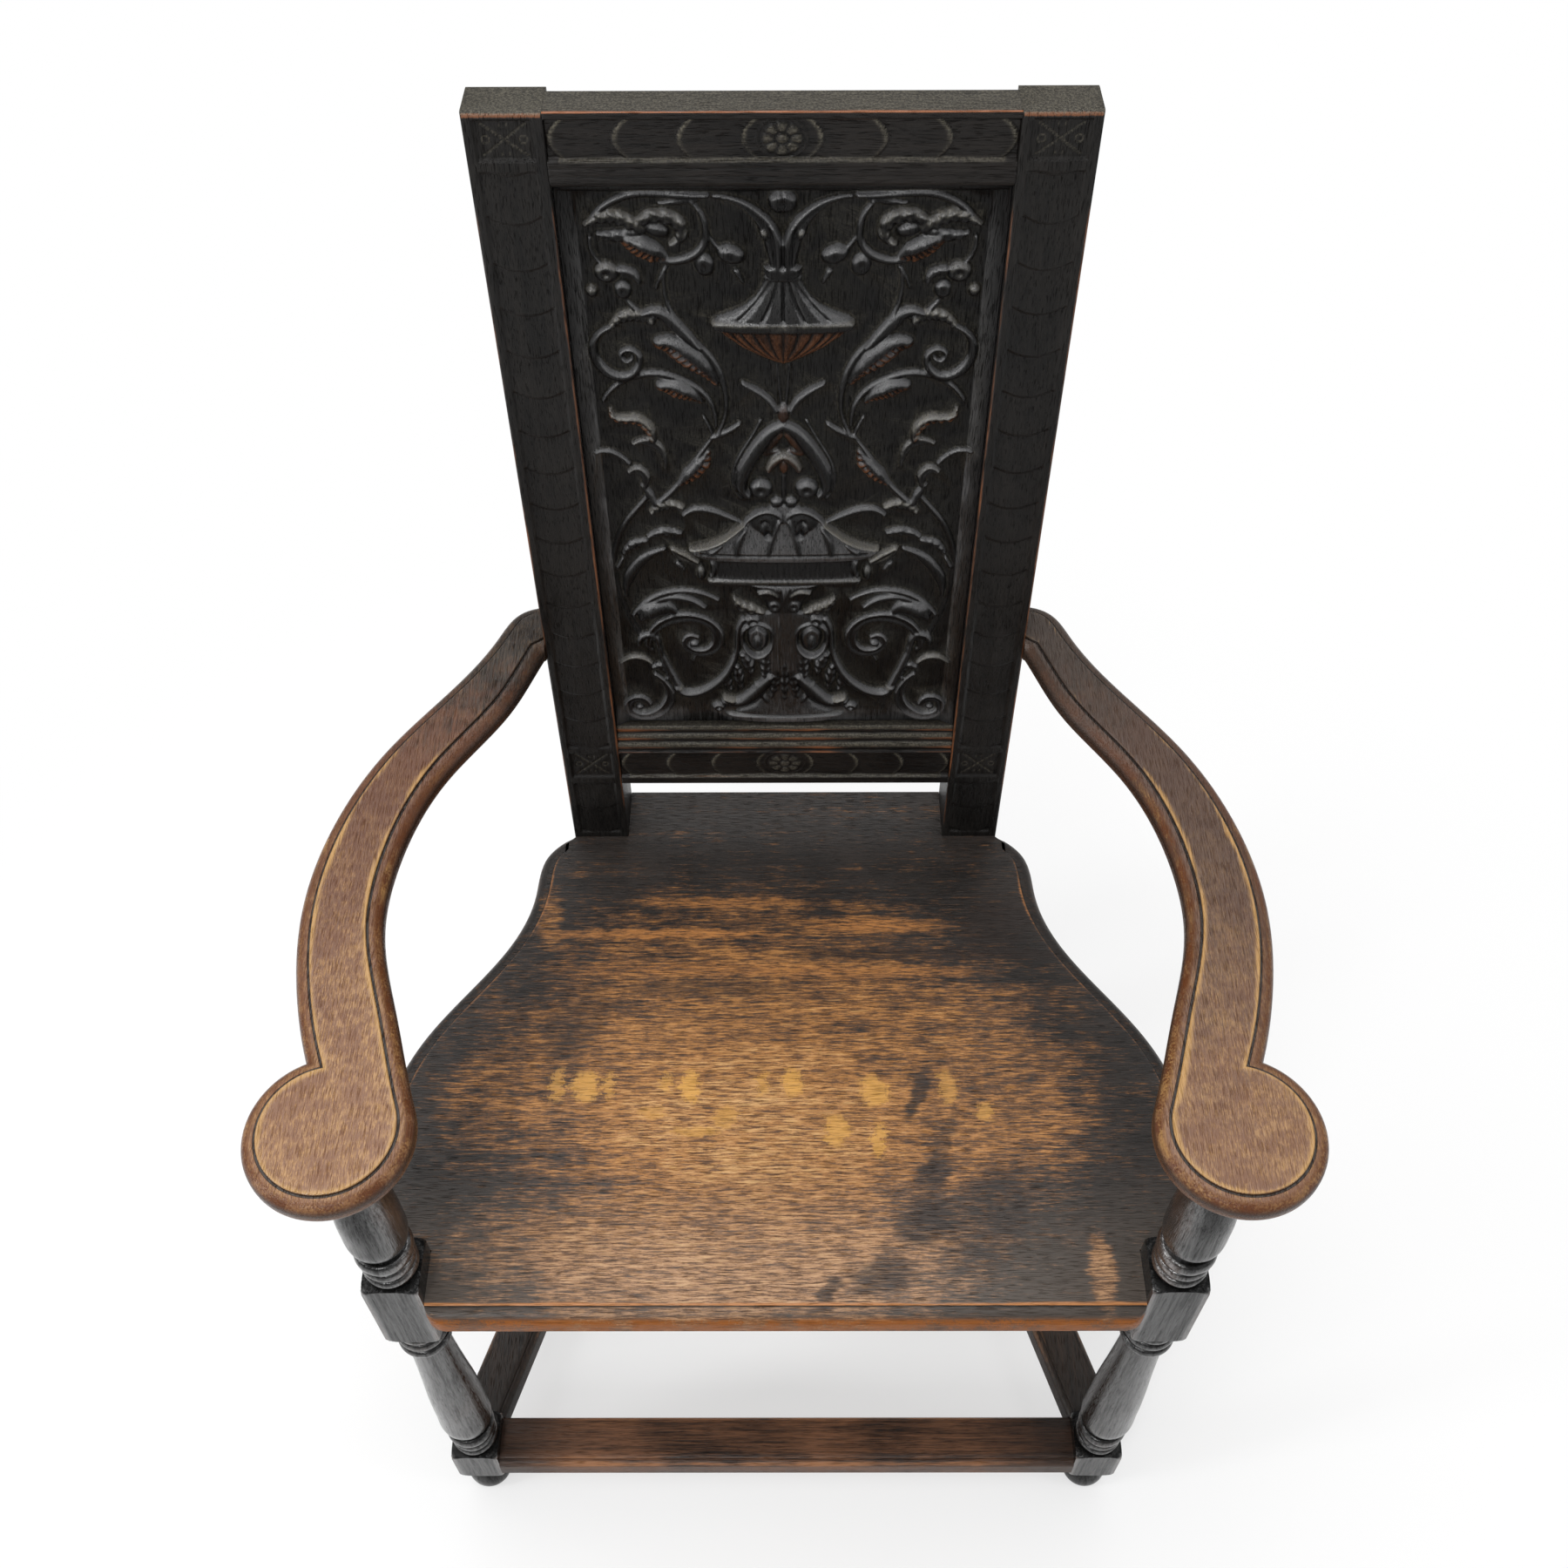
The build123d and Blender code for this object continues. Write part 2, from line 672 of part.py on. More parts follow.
def arm_plan(margin):
    """The arm seen from above, drawn in by a margin: two long sweeps that meet in a round disc."""
    centre = Vector(post_axis_x, post_axis_y)
    radius = arm_disc_radius - margin

    def on_disc(angle, radius):
        return centre + Vector(radius, 0).rotate(Axis.Z, angle)

    notch = on_disc(disc_notch_angle, arm_disc_radius)
    throat = on_disc(disc_throat_angle, arm_disc_radius)
    throat_way = Vector(0, -1).rotate(Axis.Z, disc_throat_angle)
    far_side = on_disc((disc_notch_angle + disc_throat_angle - 360) / 2, radius)
    butt_back = (stile_outer_x, arm_stile_back_y)
    butt_front = (stile_outer_x, arm_stile_front_y - arm_butt_in_front)
    outer = Spline(butt_back, *[arm_point(*shares) for shares in arm_outer], notch)
    inner_points = [arm_point(*shares) for shares in arm_inner]
    inner = Spline(throat, *inner_points, butt_front, tangents=[throat_way, (-1, 1)])
    outer_edge = beside(outer, margin)
    inner_edge = beside(inner, margin)
    meeting = where_disc_meets(outer_edge @ 1, outer % 1, centre, radius)
    butt_corner = outer_edge @ 0
    waste_x = stile_outer_x - arm_butt_waste
    front_y = butt_front[1] + margin
    return closed_plan(
        [
            Line((waste_x, butt_corner.Y), butt_corner),
            outer_edge,
            ThreePointArc(meeting, far_side, inner_edge @ 0),
            inner_edge,
            Line((stile_outer_x, front_y), (waste_x, front_y)),
        ]
    )


def arm():
    lower = extrude(arm_plan(0), amount=arm_thickness - moulding_quirk)
    lower = fillet(lower.edges().group_by(Axis.Z)[-1], arm_ovolo)
    lower = fillet(lower.edges().group_by(Axis.Z)[0], arm_under_round)
    top = extrude(arm_plan(arm_moulding), amount=arm_thickness)
    board = Pos(0, 0, arm_under) * (lower + top)
    board -= brick((0, stile_outer_x), (0, back_reach), (arm_under, arm_top))
    board += brick(arm_tenon_x, arm_tenon_y, arm_tenon_z)
    board -= Pos(post_axis_x, post_axis_y, arm_under) * Cylinder(
        post_tenon_radius + tenon_play,
        post_tenon_length + mortise_end_room,
        align=(Align.CENTER, Align.CENTER, Align.MIN),
    )
    return drilled(board, arm_peg_places())


# ---------------------------------------------------------------- seat rails and stretchers
def bar_plan(front_x, rear_x, width):
    """The plan of a bar that runs back from the post to the stile, narrowing the chair."""
    half = width / cos(atan2(front_x - rear_x, side_run)) / 2
    return make_face(
        Polyline(
            (front_x - half, post_section),
            (front_x + half, post_section),
            (rear_x + half, stile_front_y),
            (rear_x - half, stile_front_y),
            close=True,
        )
    )


def moulded_bar(plan, flat_plan):
    """A stretcher: a flat bar whose two upper edges are moulded."""
    lower = extrude(plan, amount=stretcher_thickness - moulding_quirk)
    long_edges = lower.edges().group_by(Axis.Z)[-1].sort_by(SortBy.LENGTH)[-2:]
    lower = fillet(long_edges, stretcher_ovolo)
    bar = lower + extrude(flat_plan, amount=stretcher_thickness)
    return Pos(0, 0, stretcher_low_face) * bar


def straight_plan(half_length, y):
    middle = (y[0] + y[1]) / 2
    return Pos(0, middle) * Rectangle(2 * half_length, y[1] - y[0])


def seat_rail_front():
    rail = brick((-post_inner_x, post_inner_x), front_rail_y, (seat_rail_low, seat_under))
    tenon = brick(front_rail_tenon_x, front_rail_tenon_y, rail_tenon_z)
    return rail + tenon + mirrored(tenon)


def seat_rail_side():
    plan = bar_plan(post_axis_x, stile_middle_x, seat_rail_thickness)
    rail = Pos(0, 0, seat_rail_low) * extrude(plan, amount=seat_rail_height)
    rail += brick(side_front_tenon_x, side_front_tenon_y, rail_tenon_z)
    rail += brick(side_rear_tenon_x, side_rear_tenon_y, rail_tenon_z)
    return drilled(rail, side_rail_peg_places())


def seat_rail_rear():
    rail = brick((-stile_inner_x, stile_inner_x), rear_rail_y, (seat_rail_low, seat_under))
    tenon = brick(rear_tenon_x, rear_tenon_y, rail_tenon_z)
    rail += tenon + mirrored(tenon)
    for hole in both_sides([peg_hole(*place) for place in rear_rail_peg_places()]):
        rail -= hole
    return rail


def stretcher_front():
    y = (-stretcher_proud, post_section)
    flat_y = roomy(y, -stretcher_moulding)
    bar = moulded_bar(straight_plan(post_inner_x, y), straight_plan(post_inner_x, flat_y))
    tenon = brick(front_stretcher_tenon_x, front_stretcher_tenon_y, stretcher_tenon_z)
    return bar + tenon + mirrored(tenon)


def stretcher_side():
    plan = bar_plan(post_axis_x, stile_middle_x, post_section)
    flat_plan = bar_plan(post_axis_x, stile_middle_x, post_section - 2 * stretcher_moulding)
    bar = moulded_bar(plan, flat_plan)
    bar += brick(side_stretcher_front_x, side_front_tenon_y, stretcher_tenon_z)
    bar += brick(side_stretcher_rear_x, side_stretcher_rear_y, stretcher_tenon_z)
    return drilled(bar, stretcher_peg_places())


def stretcher_rear():
    y = rear_stretcher_y
    flat_y = roomy(y, -stretcher_moulding)
    bar = moulded_bar(straight_plan(stile_inner_x, y), straight_plan(stile_inner_x, flat_y))
    tenon = brick(rear_stretcher_tenon_x, rear_stretcher_tenon_y, stretcher_tenon_z)
    bar += tenon + mirrored(tenon)
    for hole in both_sides([peg_hole(*place) for place in stretcher_peg_places()]):
        bar -= hole
    return bar


# ---------------------------------------------------------------- seat board
def seat_plan(margin):
    """The seat from above, drawn in by a margin, with waste behind, before it is notched."""
    corner_x = front_width / 2 + seat_corner_beyond_post
    side_points = [
        (
            stile_outer_x + outward * (corner_x - stile_outer_x),
            stile_front_y - forward * (stile_front_y - post_section),
        )
        for outward, forward in seat_side
    ]
    side = Spline((stile_outer_x, stile_front_y + seat_moulding / 2), *side_points)
    side_edge = beside(side, margin)
    side_start = side_edge @ 0
    waste_corner = side_start - (side % 0) * 2 * stile_depth_at_seat
    front_x = corner_x - margin
    front_y = margin - seat_moulding
    right = closed_to(waste_corner, side_edge, (front_x, front_y))
    left = [mirror(edge, about=Plane.YZ) for edge in right]
    front = Line((front_x, front_y), (-front_x, front_y))
    back = Line(waste_corner, (-waste_corner.X, waste_corner.Y))
    return make_face(right + left + [front, back])


def seat_board():
    lower = extrude(seat_plan(0), amount=seat_thickness - moulding_quirk)
    lower = fillet(lower.edges().group_by(Axis.Z)[-1], seat_ovolo)
    top = extrude(seat_plan(seat_moulding), amount=seat_thickness)
    board = Pos(0, 0, seat_under) * (lower + top)
    far_x = front_width
    far_y = stile_back_y + 3 * stile_depth_at_seat
    level = (seat_under, seat_height)
    board -= brick((-far_x, far_x), (stile_front_y, far_y), level)
    post_notch = brick((post_inner_x, far_x), (-2 * seat_moulding, post_section), level)
    for notch in both_sides([post_notch]):
        board -= notch
    tongue_x = stile_inner_x - seat_tongue_play
    return board + brick((-tongue_x, tongue_x), (stile_front_y, stile_back_y), level)


# ---------------------------------------------------------------- glue blocks under the seat
def glue_block(corner, along, inward):
    """A three-sided block in the corner of a rail's inner face and the seat's underside."""
    across = Vector(*inward).normalized()
    section = Plane(origin=corner, x_dir=across, z_dir=Vector(*along).normalized())
    down = section.y_dir.Z
    leg = glue_block_leg if down < 0 else -glue_block_leg
    triangle = make_face(Polyline((0, 0), (glue_block_leg, 0), (0, leg), close=True))
    return extrude(section * triangle, amount=glue_block_length / 2, both=True)


def glue_blocks():
    blocks = []
    front_step = 2 * post_inner_x / (front_glue_blocks + 1)
    for number in range(front_glue_blocks):
        x = -post_inner_x + front_step * (number + 1)
        blocks.append(glue_block((x, front_rail_y[1], seat_under), (1, 0, 0), (0, 1, 0)))
    side_half = seat_rail_thickness / cos(atan2(post_axis_x - stile_middle_x, side_run)) / 2
    side_blocks = []
    for number in range(side_glue_blocks):
        share = (number + 1) / (side_glue_blocks + 1)
        y = post_section + side_run * share
        x = post_axis_x - side_lean * (y - post_section) - side_half
        side_blocks.append(glue_block((x, y, seat_under), (-side_lean, 1, 0), (-1, -side_lean, 0)))
    blocks.append(glue_block((0, rear_rail_y[0], seat_under), (1, 0, 0), (0, -1, 0)))
    return blocks + both_sides(side_blocks)


# ---------------------------------------------------------------- writing the pieces
def write(name, shape):
    """Write one named piece, moved so that the origin is the middle of the footprint."""
    placed = Pos(0, -footprint_middle, 0) * shape
    export_step(placed, os.path.join("parts", name + ".step"))


def write_pair(name, right):
    write(name + "_right", right)
    write(name + "_left", mirrored(right))


os.makedirs("parts", exist_ok=True)

write_pair("rear_stile", rear_stile())
write("back_top_rail", back_top_rail())
write("back_bottom_rail", back_bottom_rail())
write("back_panel", back_panel())
write_pair("front_post", front_post())
write_pair("arm", arm())
write("seat_board", seat_board())
write("seat_rail_front", seat_rail_front())
write_pair("seat_rail", seat_rail_side())
write("seat_rail_rear", seat_rail_rear())
write("stretcher_front", stretcher_front())
write_pair("stretcher", stretcher_side())
write("stretcher_rear", stretcher_rear())
write("back_frame_pegs", Compound(pegs(back_frame_peg_places())))
write("seat_rail_pegs", Compound(pegs(side_rail_peg_places() + rear_rail_peg_places())))
write("stretcher_pegs", Compound(pegs(stretcher_peg_places())))
write("arm_pegs", Compound(pegs(arm_peg_places())))
write("seat_glue_blocks", Compound(glue_blocks()))
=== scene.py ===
from math import cos, pi, radians, sin

import bmesh
import bpy
import numpy as np
from mathutils import Matrix, Vector


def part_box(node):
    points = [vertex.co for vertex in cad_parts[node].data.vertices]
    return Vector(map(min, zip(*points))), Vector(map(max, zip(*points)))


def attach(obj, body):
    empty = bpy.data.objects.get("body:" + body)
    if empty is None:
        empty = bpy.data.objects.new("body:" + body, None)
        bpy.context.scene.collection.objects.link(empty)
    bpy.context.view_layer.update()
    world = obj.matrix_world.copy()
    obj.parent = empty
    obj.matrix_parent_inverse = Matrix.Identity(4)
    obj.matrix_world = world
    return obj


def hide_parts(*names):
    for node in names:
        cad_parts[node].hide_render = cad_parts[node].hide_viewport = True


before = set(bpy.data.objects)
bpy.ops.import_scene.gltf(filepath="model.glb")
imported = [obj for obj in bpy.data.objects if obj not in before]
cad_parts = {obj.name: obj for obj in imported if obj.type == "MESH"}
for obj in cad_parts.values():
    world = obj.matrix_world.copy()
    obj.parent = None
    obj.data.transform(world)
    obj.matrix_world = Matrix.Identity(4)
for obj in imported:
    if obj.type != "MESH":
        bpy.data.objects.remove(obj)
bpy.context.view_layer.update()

# Sizes are in millimetres, as a joiner has them, and become metres when a mesh is made.
# X goes to the right of someone who faces the chair, Y towards its back, Z up.


# ------------------------------------------------------------------ rear stiles
# Each stile is one long oak timber, the rear leg below and the upright of the back above.
# It is riven and planed, raked and thinned above the seat, and its face is cut with gouge and
# punch. The arrises are rubbed brown.
MM = 0.001
RAKE = radians(2.2)
HANDS = ((1, "right"), (-1, "left"))


def box_of(node):
    """The low and the high corner of a node's box."""
    return [np.array(corner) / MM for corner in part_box(node)]


stile_low, stile_high = box_of("rear_stile_right")
seat_low, seat_high = box_of("seat_board")
back_face_y = stile_low[1]
seat_level = seat_high[2]
stile_inner = stile_low[0]
stile_outer = stile_high[0]
stile_middle = (stile_inner + stile_outer) / 2
stile_half = (stile_outer - stile_inner) / 2
back_length = 638.0
depth_at_seat = 47.0
depth_at_top = 31.0


def on_back(x, depth, height):
    """Points of the raked back, from their depth behind its face and height up from the seat."""
    above = np.maximum(height, 0.0)
    below = np.minimum(height, 0.0)
    lean_sin = np.where(height > 0, sin(RAKE), 0.0)
    lean_cos = np.where(height > 0, cos(RAKE), 1.0)
    y = back_face_y + above * sin(RAKE) + depth * lean_cos
    z = seat_level + below + above * cos(RAKE) - depth * lean_sin
    return np.stack(np.broadcast_arrays(x, y, z), axis=-1)


def ease(value, low, high):
    """0 below a low value, 1 above a high one, and smooth between."""
    share = np.clip((value - low) / (high - low), 0.0, 1.0)
    return share * share * (3 - 2 * share)


def spike(gap, half_width):
    """1 where a gap is nothing, falling straight to 0 at the half width."""
    return np.clip(1 - gap / half_width, 0.0, 1.0)


def piece(name, points, faces, material, marks):
    """A named mesh of the chair, from points in millimetres, with its material and its marks of wear, wax and
    painted light.
    """
    mesh = bpy.data.meshes.new(name)
    mesh.from_pydata((np.asarray(points) * MM).tolist(), [], faces)
    for mark, values in marks.items():
        layer = mesh.attributes.new(mark, "FLOAT", "POINT")
        layer.data.foreach_set("value", np.asarray(values, dtype=np.float32).ravel())
    mesh.materials.append(material)
    shape = bmesh.new()
    shape.from_mesh(mesh)
    bmesh.ops.recalc_face_normals(shape, faces=shape.faces)
    shape.to_mesh(mesh)
    shape.free()
    mesh.polygons.foreach_set("use_smooth", [True] * len(mesh.polygons))
    obj = bpy.data.objects.new(name, mesh)
    bpy.context.scene.collection.objects.link(obj)
    return obj


def ringed(name, rings, material, crisp=None):
    """A piece from closed rings, each its points and its marks, with both ends closed. Arrises
    that turn by more than crisp degrees stay sharp."""
    columns = len(rings[0][0])
    last = (len(rings) - 1) * columns
    faces = []
    for first in range(0, last, columns):
        second = first + columns
        for column in range(columns):
            following = (column + 1) % columns
            faces.append((first + column, first + following, second + following, second + column))
    faces.append(tuple(range(columns)))
    faces.append(tuple(last + column for column in range(columns)))
    points = np.concatenate([ring for ring, _ in rings])
    marks = {mark: np.concatenate([given[mark] for _, given in rings]) for mark in rings[0][1]}
    obj = piece(name, points, faces, material, marks)
    if crisp:
        obj.data.set_sharp_from_angle(angle=radians(crisp))
    return obj


def place(obj, node):
    """A finished piece stands for its node, whose part is hidden, and rides with the chair."""
    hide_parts(node)
    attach(obj, "root")


class Value:
    """What one node of a material gives. Sums with it and its methods add the nodes they need."""

    def __init__(self, tree, kind, output, inputs=None, **settings):
        self.tree = tree
        node = tree.nodes.new(kind)
        for key, value in settings.items():
            setattr(node, key, value)
        for key, value in (inputs or {}).items():
            socket = node.inputs[key]
            if isinstance(value, Value):
                tree.links.new(value.socket, socket)
            elif isinstance(value, tuple) and len(value) < len(socket.default_value):
                socket.default_value = (*value, 1.0)
            else:
                socket.default_value = value
        self.socket = node.outputs[output]

    def sum(self, operation, first, second):
        """A sum of two values, of which one may be a plain number."""
        return Value(self.tree, "ShaderNodeMath", 0, {0: first, 1: second}, operation=operation)

    def __add__(self, other):
        return self.sum("ADD", self, other)

    def __sub__(self, other):
        return self.sum("SUBTRACT", self, other)

    def __mul__(self, other):
        return self.sum("MULTIPLY", self, other)

    def __truediv__(self, other):
        return self.sum("DIVIDE", self, other)

    def at_least(self, other):
        return self.sum("MAXIMUM", other, self)

    def between(self, low, high, out_low=0.0, out_high=1.0):
        """One value to another, by default 0 to 1, as this goes from low to high."""
        inputs = {"Value": self, "From Min": low, "From Max": high, "To Min": out_low, "To Max": out_high}
        return Value(self.tree, "ShaderNodeMapRange", 0, inputs, interpolation_type="SMOOTHSTEP")

    def blend(self, first, second):
        """The first colour where this is 0, the second where it is 1."""
        return Value(self.tree, "ShaderNodeMix", 2, {0: self, 6: first, 7: second}, data_type="RGBA")

    def noise(self, scale, detail=2.0, roughness=0.5):
        inputs = {"Vector": self, "Scale": scale, "Detail": detail, "Roughness": roughness}
        return Value(self.tree, "ShaderNodeTexNoise", "Fac", inputs)

    def mapped(self, **inputs):
        return Value(self.tree, "ShaderNodeMapping", 0, {"Vector": self, **inputs})

    def part(self, axis):
        return Value(self.tree, "ShaderNodeSeparateXYZ", axis, {0: self})


def surface(name):
    """A new material, its empty tree of nodes, and the place on the chair that is being coloured."""
    material = bpy.data.materials.new(name)
    material.use_nodes = True
    tree = material.node_tree
    tree.nodes.clear()
    return material, tree, Value(tree, "ShaderNodeTexCoord", "Object")


def shown(shader):
    """Send a finished shader to the output of its tree."""
    output = shader.tree.nodes.new("ShaderNodeOutputMaterial")
    shader.tree.links.new(shader.socket, output.inputs["Surface"])


# pale grey wax; the same colour also lays painted highlights on faces turned up
grey_wax_and_highlight = (0.16, 0.145, 0.11)
along_grain = {"X": (0.04, 1.0, 1.0), "Y": (1.0, 0.04, 1.0), "Z": (1.0, 1.0, 0.04)}


def oak(
    name,
    along,
    dark,
    body,
    worn,
    warm=None,
    gloss=0.42,
    shine=0.3,
    polish=0.3,
    pore=0.5,
    streaky=0.0,
    warm_shine=0.12,
    relief=1.0,
    seed=0.0,
    patches=None,
):
    """Old waxed oak. along is its grain's axis; dark lies in the pores, body is the common colour,
    and the wear colour shows where the wear mark is: rubbed wear, and on the panel and the posts
    also painted sheen and painted reflection. The dust mark is grey wax, and on the panel and the
    back rails also painted highlight on faces turned up; the soot mark is black wax in the quirks,
    a darkening of the stretchers towards the posts, and painted shade under the arms. "warm" is
    where a warmer wood shows, with warm_shine of the gloss, and on the panel it is partly a painted
    reflection of the golden seat on faces turned down. shine is the gloss of the common surface,
    polish what rubbing adds to it, streaky how far it comes in streaks along the grain, and pore
    how strongly the pores show."""
    material, tree, at = surface(name)

    def mark(of):
        return Value(tree, "ShaderNodeAttribute", "Fac", attribute_name=of)

    grain = at.mapped(Location=(seed, seed * 0.7, seed * 1.3), Scale=along_grain[along])
    pores = grain.noise(2000.0, 1.0).between(0.55, 0.70)
    fibres = grain.noise(800.0, 4.0, 0.7)
    bands = grain.noise(120.0, 4.0, 0.65)
    cloud = at.noise(16.0, 3.0)
    spots = at.noise(700.0, 2.0)

    tone = fibres * 0.5 + bands * 0.3 + cloud * 0.35
    colour = tone.between(0.42, 0.72).blend(dark, body)
    if patches:
        colour = patches(colour, at, grain)
    # the wear mark holds rubbed wear, and on the panel a painted grey sheen and on the posts a painted
    # reflection
    wear_and_sheen_mark = mark("worn")
    rubbed = wear_and_sheen_mark + (fibres - 0.5) * 0.9 + (cloud - 0.5) * 1.2
    rubbed = rubbed.between(0.35, 0.85) * wear_and_sheen_mark.between(0.02, 0.2)
    colour = rubbed.blend(colour, worn)
    shining = (wear_and_sheen_mark * polish + shine) * pores.between(0.0, 1.0, 1.0, 0.35)
    # the warm mark holds warmer wood, and on the panel partly a painted reflection of the golden seat
    if warm:
        warm_mark = mark("warm")
        uneven = spots + (at.noise(60.0, 4.0) - 0.5) * 1.6
        colour = (warm_mark * uneven.between(0.25, 0.65, 0.30, 1.0)).blend(colour, warm)
        shining = shining * warm_mark.between(0.0, 1.0, 1.0, warm_shine)
    if streaky:
        shining = shining * grain.noise(420.0, 5.0, 0.75).between(0.36, 0.64, 1 - streaky, 1 + streaky)
    # the dust mark lays grey wax, and on the panel and the back rails painted highlights on faces turned up
    colour = (mark("dust") * spots.between(0.35, 0.7, 0.3, 1.0)).blend(colour, grey_wax_and_highlight)
    # the soot mark lays black wax in the quirks, darkens the stretchers towards the posts, and lays painted
    # shade under the arms
    colour = mark("soot").at_least(pores * pore).blend(colour, dark)

    height = fibres * 0.8 - pores * 0.8 + bands * 0.5
    bump = {"Strength": 0.6 * relief, "Distance": 0.0006, "Height": height}
    inputs = {
        "Base Color": colour,
        "Specular IOR Level": shining,
        "Roughness": (fibres + cloud * 0.6).between(0.5, 1.1, gloss - 0.07, gloss + 0.12),
        "Normal": Value(tree, "ShaderNodeBump", "Normal", bump),
    }
    shown(Value(tree, "ShaderNodeBsdfPrincipled", "BSDF", inputs))
    return material


back_oak = oak(
    "carved_back_oak",
    along="Z",
    dark=(0.0020, 0.0018, 0.0017),
    body=(0.0125, 0.0110, 0.0098),
    worn=(0.17, 0.062, 0.024),
    gloss=0.40,
    shine=0.22,
)

field_depth = 3.0
square_depth = field_depth * 0.7
stile_sinking = 1.5
field_half = 16.5
# The sunk fields of the faces of the frame, as low and high heights above the seat
top_field = (609.0, 633.0)
low_field = (77.0, 105.0)
stile_bands = [(112.0, 602.0), (6.0, 69.0)]
gouge_pitch = 30.5
gouge_depth = 1.3
gouge_sag = 6.0
cross_half = 12.5
cross_inset = 2.5
cross_cut = (1.0, 0.9)  # half width and depth of its lines
punch_out = 10.5
punch_up = 8.5
punch_mark = (2.2, 0.9, 0.6)  # radius, half width and depth of its ring
line_half = 0.9
top_round = 2.5
stile_columns = 54
rubbed_up_to = 570.0  # the arrises of the stiles fade from here
dark_from = 592.0


def groove_line(x, height, start, end, half_width, depth):
    """How deep a straight V-cut is at each point."""
    way = np.array(end) - np.array(start)
    share = ((x - start[0]) * way[0] + (height - start[1]) * way[1]) / way.dot(way)
    share = np.clip(share, 0.0, 1.0)
    gap = np.hypot(x - start[0] - share * way[0], height - start[1] - share * way[1])
    return depth * spike(gap, half_width)


def ring_punch(x, height, centre, radius, half_width, depth):
    """How deep the mark of a ring punch is at each point."""
    gap = np.abs(np.hypot(x - centre[0], height - centre[1]) - radius)
    return depth * spike(gap, half_width)


def field_mask(height, low, high, soft):
    """1 between two heights of a sunk field, with steep soft walls."""
    return ease(height, low - soft, low + soft) * ease(-height, -high - soft, -high + soft)


def stile_field(x, height, low, high, soft):
    """1 inside a sunk field of a stile."""
    return ease(field_half - np.abs(x), -soft, soft) * field_mask(height, low, high, soft)


def stile_carving(x, height):
    """Depth of a stile's face at places across it (from its middle) and up it."""
    depth = np.zeros_like(x + height)
    for low, high in (top_field, low_field):
        middle = (low + high) / 2
        foot, head = low + cross_inset, high - cross_inset
        rising = groove_line(x, height, (-cross_half, foot), (cross_half, head), *cross_cut)
        falling = groove_line(x, height, (-cross_half, head), (cross_half, foot), *cross_cut)
        cuts = np.maximum(rising, falling)
        for out, up in ((-1, 0), (1, 0), (0, 1), (0, -1)):
            centre = (out * punch_out, middle + up * punch_up)
            cuts = np.maximum(cuts, ring_punch(x, height, centre, *punch_mark))
        depth = np.maximum(depth, stile_field(x, height, low, high, 0.45) * (square_depth + cuts))
    for low, high in stile_bands:
        arc = height - low - gouge_sag * (x / field_half) ** 2
        share = np.mod(arc, gouge_pitch) / gouge_pitch
        scoop = gouge_depth * share**1.6 * ease(1 - share, 0.0, 0.04)
        gouged = stile_sinking - gouge_depth * 0.6 + scoop
        depth = np.maximum(depth, stile_field(x, height, low, high, 1.0) * gouged)
    return depth


def rear_stile(side, name):
    """The right stile (side 1) or the left one (side -1), from its foot to its top."""
    arris = 1.0
    columns = stile_columns
    half = stile_half
    across = np.linspace(-half + arris, half - arris, columns)
    heights = np.concatenate(
        [
            [-seat_level, -seat_level + 2.0],
            np.linspace(-seat_level + 12.0, -8.0, 12),
            np.arange(0.0, back_length - 3.0, 1.0),
            [back_length - 2.5, back_length - 1.2, back_length - 0.4, back_length],
        ]
    )
    rings = []
    for height in heights:
        face = stile_carving(across, np.full_like(across, height))
        thick = depth_at_seat - (depth_at_seat - depth_at_top) * max(height, 0.0) / back_length
        draw_in = 2.0 if height <= -seat_level else 0.0
        near_top = np.clip(height - (back_length - top_round), 0.0, top_round)
        round_over = top_round - np.sqrt(max(top_round**2 - near_top**2, 0.0))
        flank = [(half - 0.3, arris * 0.3), (half, arris), (half, arris + 3), (half, thick - arris)]
        flank.append((half - arris, thick))
        row = list(zip(across, face)) + flank + [(-u, depth) for u, depth in reversed(flank)]
        row = np.array(row)
        row[:, 0] -= np.sign(row[:, 0]) * draw_in * (np.abs(row[:, 0]) > half - 3)
        row[:, 1] = np.clip(row[:, 1], draw_in + round_over, thick - draw_in - round_over * 1.5)
        worn = np.zeros(len(row))
        rubbed = 0.62 - 0.5 * ease(height, rubbed_up_to, dark_from)
        worn[columns : columns + 2] = rubbed
        worn[-2:] = rubbed
        worn[[0, columns - 1]] = rubbed - 0.1
        if back_length - 3.0 < height < back_length - 1.0:
            worn[:columns] = 0.8
        worn *= (0.35 + 0.65 * ease(height, 0.0, 60.0)) * (1.0 - 0.8 * (height >= back_length - 0.5))
        dust = np.full(len(row), 0.55 * (height > back_length - 2.0))
        dust[:columns] = np.maximum(dust[:columns], 0.4 * (face > square_depth + 0.45))
        points = on_back(side * stile_middle + row[:, 0], row[:, 1], np.full(len(row), height))
        rings.append((points, {"worn": worn, "dust": dust}))
    return ringed(name, rings, back_oak)


for side, hand in HANDS:
    place(rear_stile(side, f"rear_stile_{hand}_carved"), f"rear_stile_{hand}")


